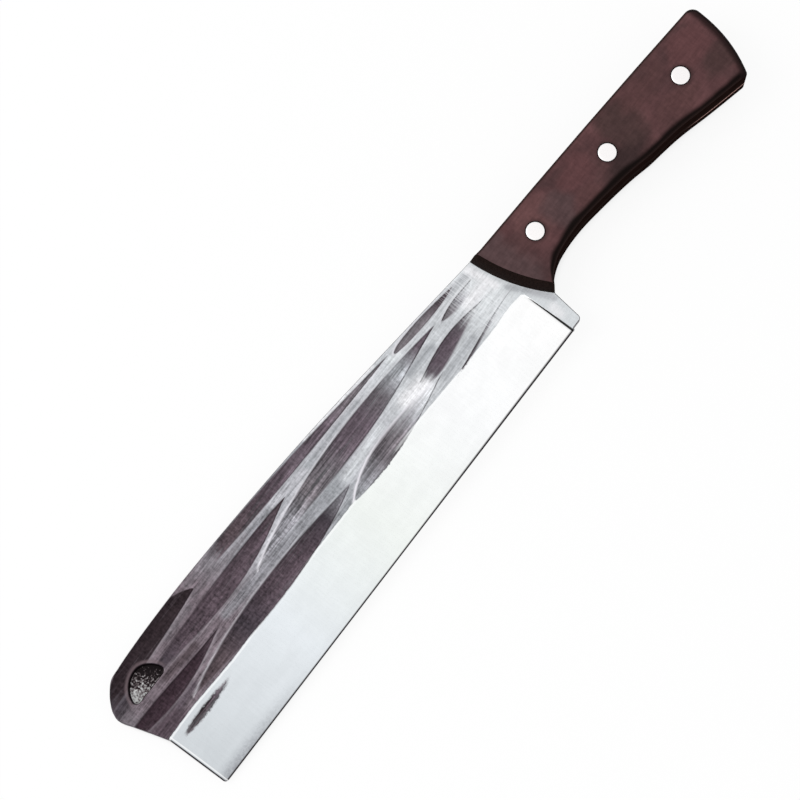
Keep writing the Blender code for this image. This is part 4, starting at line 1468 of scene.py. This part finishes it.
def wood_flats(s, along, up, f):
    """The wood's blotches, spots and grain, and painted shade round each rivet."""
    colour = s.ramp(f.blotch, (
        (0.32, (74, 53, 54)), (0.46, (84, 58, 59)), (0.55, (89, 61, 62)), (0.66, (98, 67, 68)),
    ))
    colour = s.mix(s.step(f.patch, 0.54, 0.68, 0.0, 0.5), colour, srgb(74, 54, 54))
    reach = (f.patch - 0.5) * 2.2
    for *spot, tone, strength in WOOD_SPOTS:
        colour = s.paint(colour, (s.spot(along, up, *spot, reach) * strength, tone))
    # Painted shade round each rivet, set a little towards the butt and the under side.
    for x, y in rivet_places():
        ring = s.spot(along, up, (x + RIVET_SHADE_SHIFT, y - RIVET_SHADE_SHIFT), RIVET_SHADE_REACH, RIVET_SHADE_REACH, 0.0)
        colour = s.paint(colour, (ring * 0.9, (52, 38, 38)))
    colour = s.dapple(colour, f.mottle, 0.3, 0.7, 0.90, 1.10)
    colour = s.dapple(colour, f.fibre, 0.32, 0.68, 0.94, 1.06)
    colour = s.dapple(colour, f.weave, 0.35, 0.65, 0.94, 1.06)
    return s.dapple(colour, f.pores, 0.28, 0.40, 0.86, 1.0)


def wood_rim_shade(s, along, out, from_under, from_over, from_end, colour):
    """Paints shade on the wood along its under side, its upper side and its butt, where it turns over."""
    under_shade_width = s.step(along, 7.0, 17.0, 1.2, 3.8)
    colour = s.paint(
        colour,
        (s.step(from_under, under_shade_width, under_shade_width * 0.4) * 0.98, (9, 3, 2)),
        (s.step(from_over, 1.5, 0.3) * 0.7, (50, 33, 30)),
        (s.step(from_end, 4.4, 1.9) * 0.9, (33, 21, 21)),
    )
    off = s.math("ABSOLUTE", out)
    at_end = s.step(from_end, 3.8, 2.8)
    end_turn = s.step(off, HALF_HANDLE - 0.01, HALF_HANDLE - 0.15) * at_end
    turned_over_shade = s.larger(s.step(off, HALF_HANDLE - 0.03, HALF_HANDLE - 0.6), end_turn)
    return s.mix(turned_over_shade * 0.9, colour, s.mix(at_end, srgb(36, 23, 21), srgb(20, 12, 11)))


def wood_material(kind):
    """Dark red wood: blotchy on its flats, with painted shade round their edges, on the walls and on the
    front.
    """
    s = Nodes(bpy.data.materials.new(f"dark_red_wood_and_shade_{kind}"))
    where = s.place()
    f = s.noises(where, WOOD_NOISES)
    along, up, out = s.from_blade(where)
    from_under, from_over, from_end = handle_distances(s, along, up)
    from_under = from_under + (f.blotch - 0.5) * 2.5
    if kind == "flat":
        colour = wood_flats(s, along, up, f)
        colour = wood_rim_shade(s, along, out, from_under, from_over, from_end, colour)
    # The side walls: painted dark as shade, darkest towards the under side.
    if kind == "wall":
        colour = s.mix(s.step(from_under, 12.0, 6.0), srgb(52, 33, 30), srgb(28, 17, 15))
        colour = s.dapple(colour, f.fibre, 0.32, 0.68, 0.8, 1.2)
    # The bevelled front: dark end grain, nearly black with painted shade.
    if kind == "end":
        colour = s.mix(s.step(f.sawn, 0.35, 0.65), srgb(21, 13, 11), srgb(33, 22, 19))
    return s.finished({
        "Base Color": colour,
        "Roughness": s.step(f.fibre, 0.2, 0.8, 0.62, 0.5),
        "Specular IOR Level": WOOD_SHINE[kind],
        "Normal": s.bump(f.fibre + f.pores, 0.3, 0.00006),
    })


def rivet_material():
    s = Nodes(bpy.data.materials.new("bright_rivet"))
    brushed = s.noise(s.place(), (0.4, 6.0, 1.0), 3.0, 2.0)
    return s.finished({
        "Base Color": s.mix(brushed, srgb(238, 235, 234), srgb(253, 250, 250)),
        "Metallic": 0.9,
        "Roughness": 0.3,
    })


# Stage, light and camera


def floor_material():
    """A pale floor glowing evenly to the camera, with a painted grainy shadow under the hanging hole."""
    s = Nodes(bpy.data.materials.new("pale_floor"))
    where = s.place()
    along, up, _ = s.from_blade(where)
    # A painted shadow under the hanging hole: darker towards the handle, grainy at its edge, tinged pink
    # where deep.
    beside = (along - (TIP_X + HOLE_SETBACK + HOLE_LENGTH / 2)) / (HOLE_LENGTH * 0.6)
    above = (up - (HOLE_FLOOR + HOLE_HEIGHT / 2)) / (HOLE_HEIGHT * 0.6)
    coarse = s.noise(where, (1.0, 1.0, 1.0), 0.8, 2.0, 0.7)
    grainy = s.noise(where, (1.0, 1.0, 1.0), 1.5, 1.0)
    slope = beside + above * 0.35 + s.sway((coarse, 2.4), (grainy, 3.2))
    shadow_pool = s.step(beside * beside + above * above, 1.4, 0.9) * s.step(slope, -1.5, 0.3, 0.35, 0.985)
    dim = 1.0 - shadow_pool
    # Ambient occlusion dims the glow near the knife as a contact shadow.
    open_sky = s.node("AmbientOcclusion", "AO", {"Distance": SHADOW_REACH}, samples=16)
    glow = s.node("Emission", 0, {
        "Color": s.mix(s.step(shadow_pool, 0.6, 0.985), (1.0, 1.0, 1.0, 1.0), (1.0, 0.76, 0.82, 1.0)),
        "Strength": dim * s.step(open_sky, 0.0, 0.6, 0.2, 1.0),
    })
    s.finished({"Base Color": s.shade((1.0, 1.0, 1.0), dim), "Roughness": 0.9, "Specular IOR Level": 0.0})
    lit = Signal(s, s.tree.nodes["Principled BSDF"].outputs[0])
    shown = s.node("MixShader", 0, {0: s.seen_directly() * 0.9, 1: lit, 2: glow})
    return s.finished({"Surface": shown}, "Material Output")


def add_floor():
    """A pale floor under the knife, which lies on the front of its handle and on its nose."""
    touch = HOME.x + (FRONT_X + FRONT_BEVEL) * METRES
    nose_x = HOME.x + NOSE_X * METRES
    slope = (BLADE_LOW.z - CAD_BOX[0][2]) / (nose_x - touch)
    work = bmesh.new()
    bmesh.ops.create_grid(work, x_segments=1, y_segments=1, size=FLOOR_SIZE)
    for vertex in work.verts:
        vertex.co.z = (vertex.co.x - touch) * slope - FLOOR_GAP
    mesh = bpy.data.meshes.new("floor")
    work.to_mesh(mesh)
    work.free()
    mesh.materials.append(floor_material())
    floor = new_object("floor", mesh)


def add_lights():
    data = bpy.data.lights.new("key", "AREA")
    data.shape = "RECTANGLE"
    data.size = KEY_SIZE
    data.size_y = KEY_SIZE
    data.energy = KEY_POWER
    lamp = new_object("key", data)
    lamp.location = KEY_PLACE
    lamp.rotation_euler = (-Vector(KEY_PLACE)).to_track_quat("-Z", "Y").to_euler()
    s = Nodes(bpy.data.worlds.new("studio"))
    strength = s.larger(s.seen_directly(), SKY_STRENGTH)
    bpy.context.scene.world = s.finished({"Color": (1.0, 1.0, 1.0, 1.0), "Strength": strength}, "Background")


def add_camera():
    data = bpy.data.cameras.new("camera")
    data.lens = CAMERA_LENS
    data.sensor_width = SENSOR
    camera = new_object("camera", data)
    back = (Vector(CAMERA_PLACE) - Vector(CAMERA_AIM)).normalized()
    flat = Vector((math.cos(PICTURE_TURN), math.sin(PICTURE_TURN), 0.0))
    right = (flat - back * flat.dot(back)).normalized()
    turn = Matrix((right, back.cross(right), back)).transposed()
    camera.matrix_world = Matrix.Translation(CAMERA_PLACE) @ turn.to_4x4()
    bpy.context.scene.camera = camera


make_blade()
WOODS = [wood_material(kind) for kind in WOOD_SHINE]
make_scale("left", 1, WOODS)
make_scale("right", -1, WOODS)
RIVET_METAL = rivet_material()
for rivet_word, rivet_place in zip(RIVET_WORDS, rivet_places()):
    make_rivet(rivet_word, rivet_place, RIVET_METAL)
add_floor()
add_lights()
add_camera()
bpy.context.scene.view_settings.view_transform = "Standard"
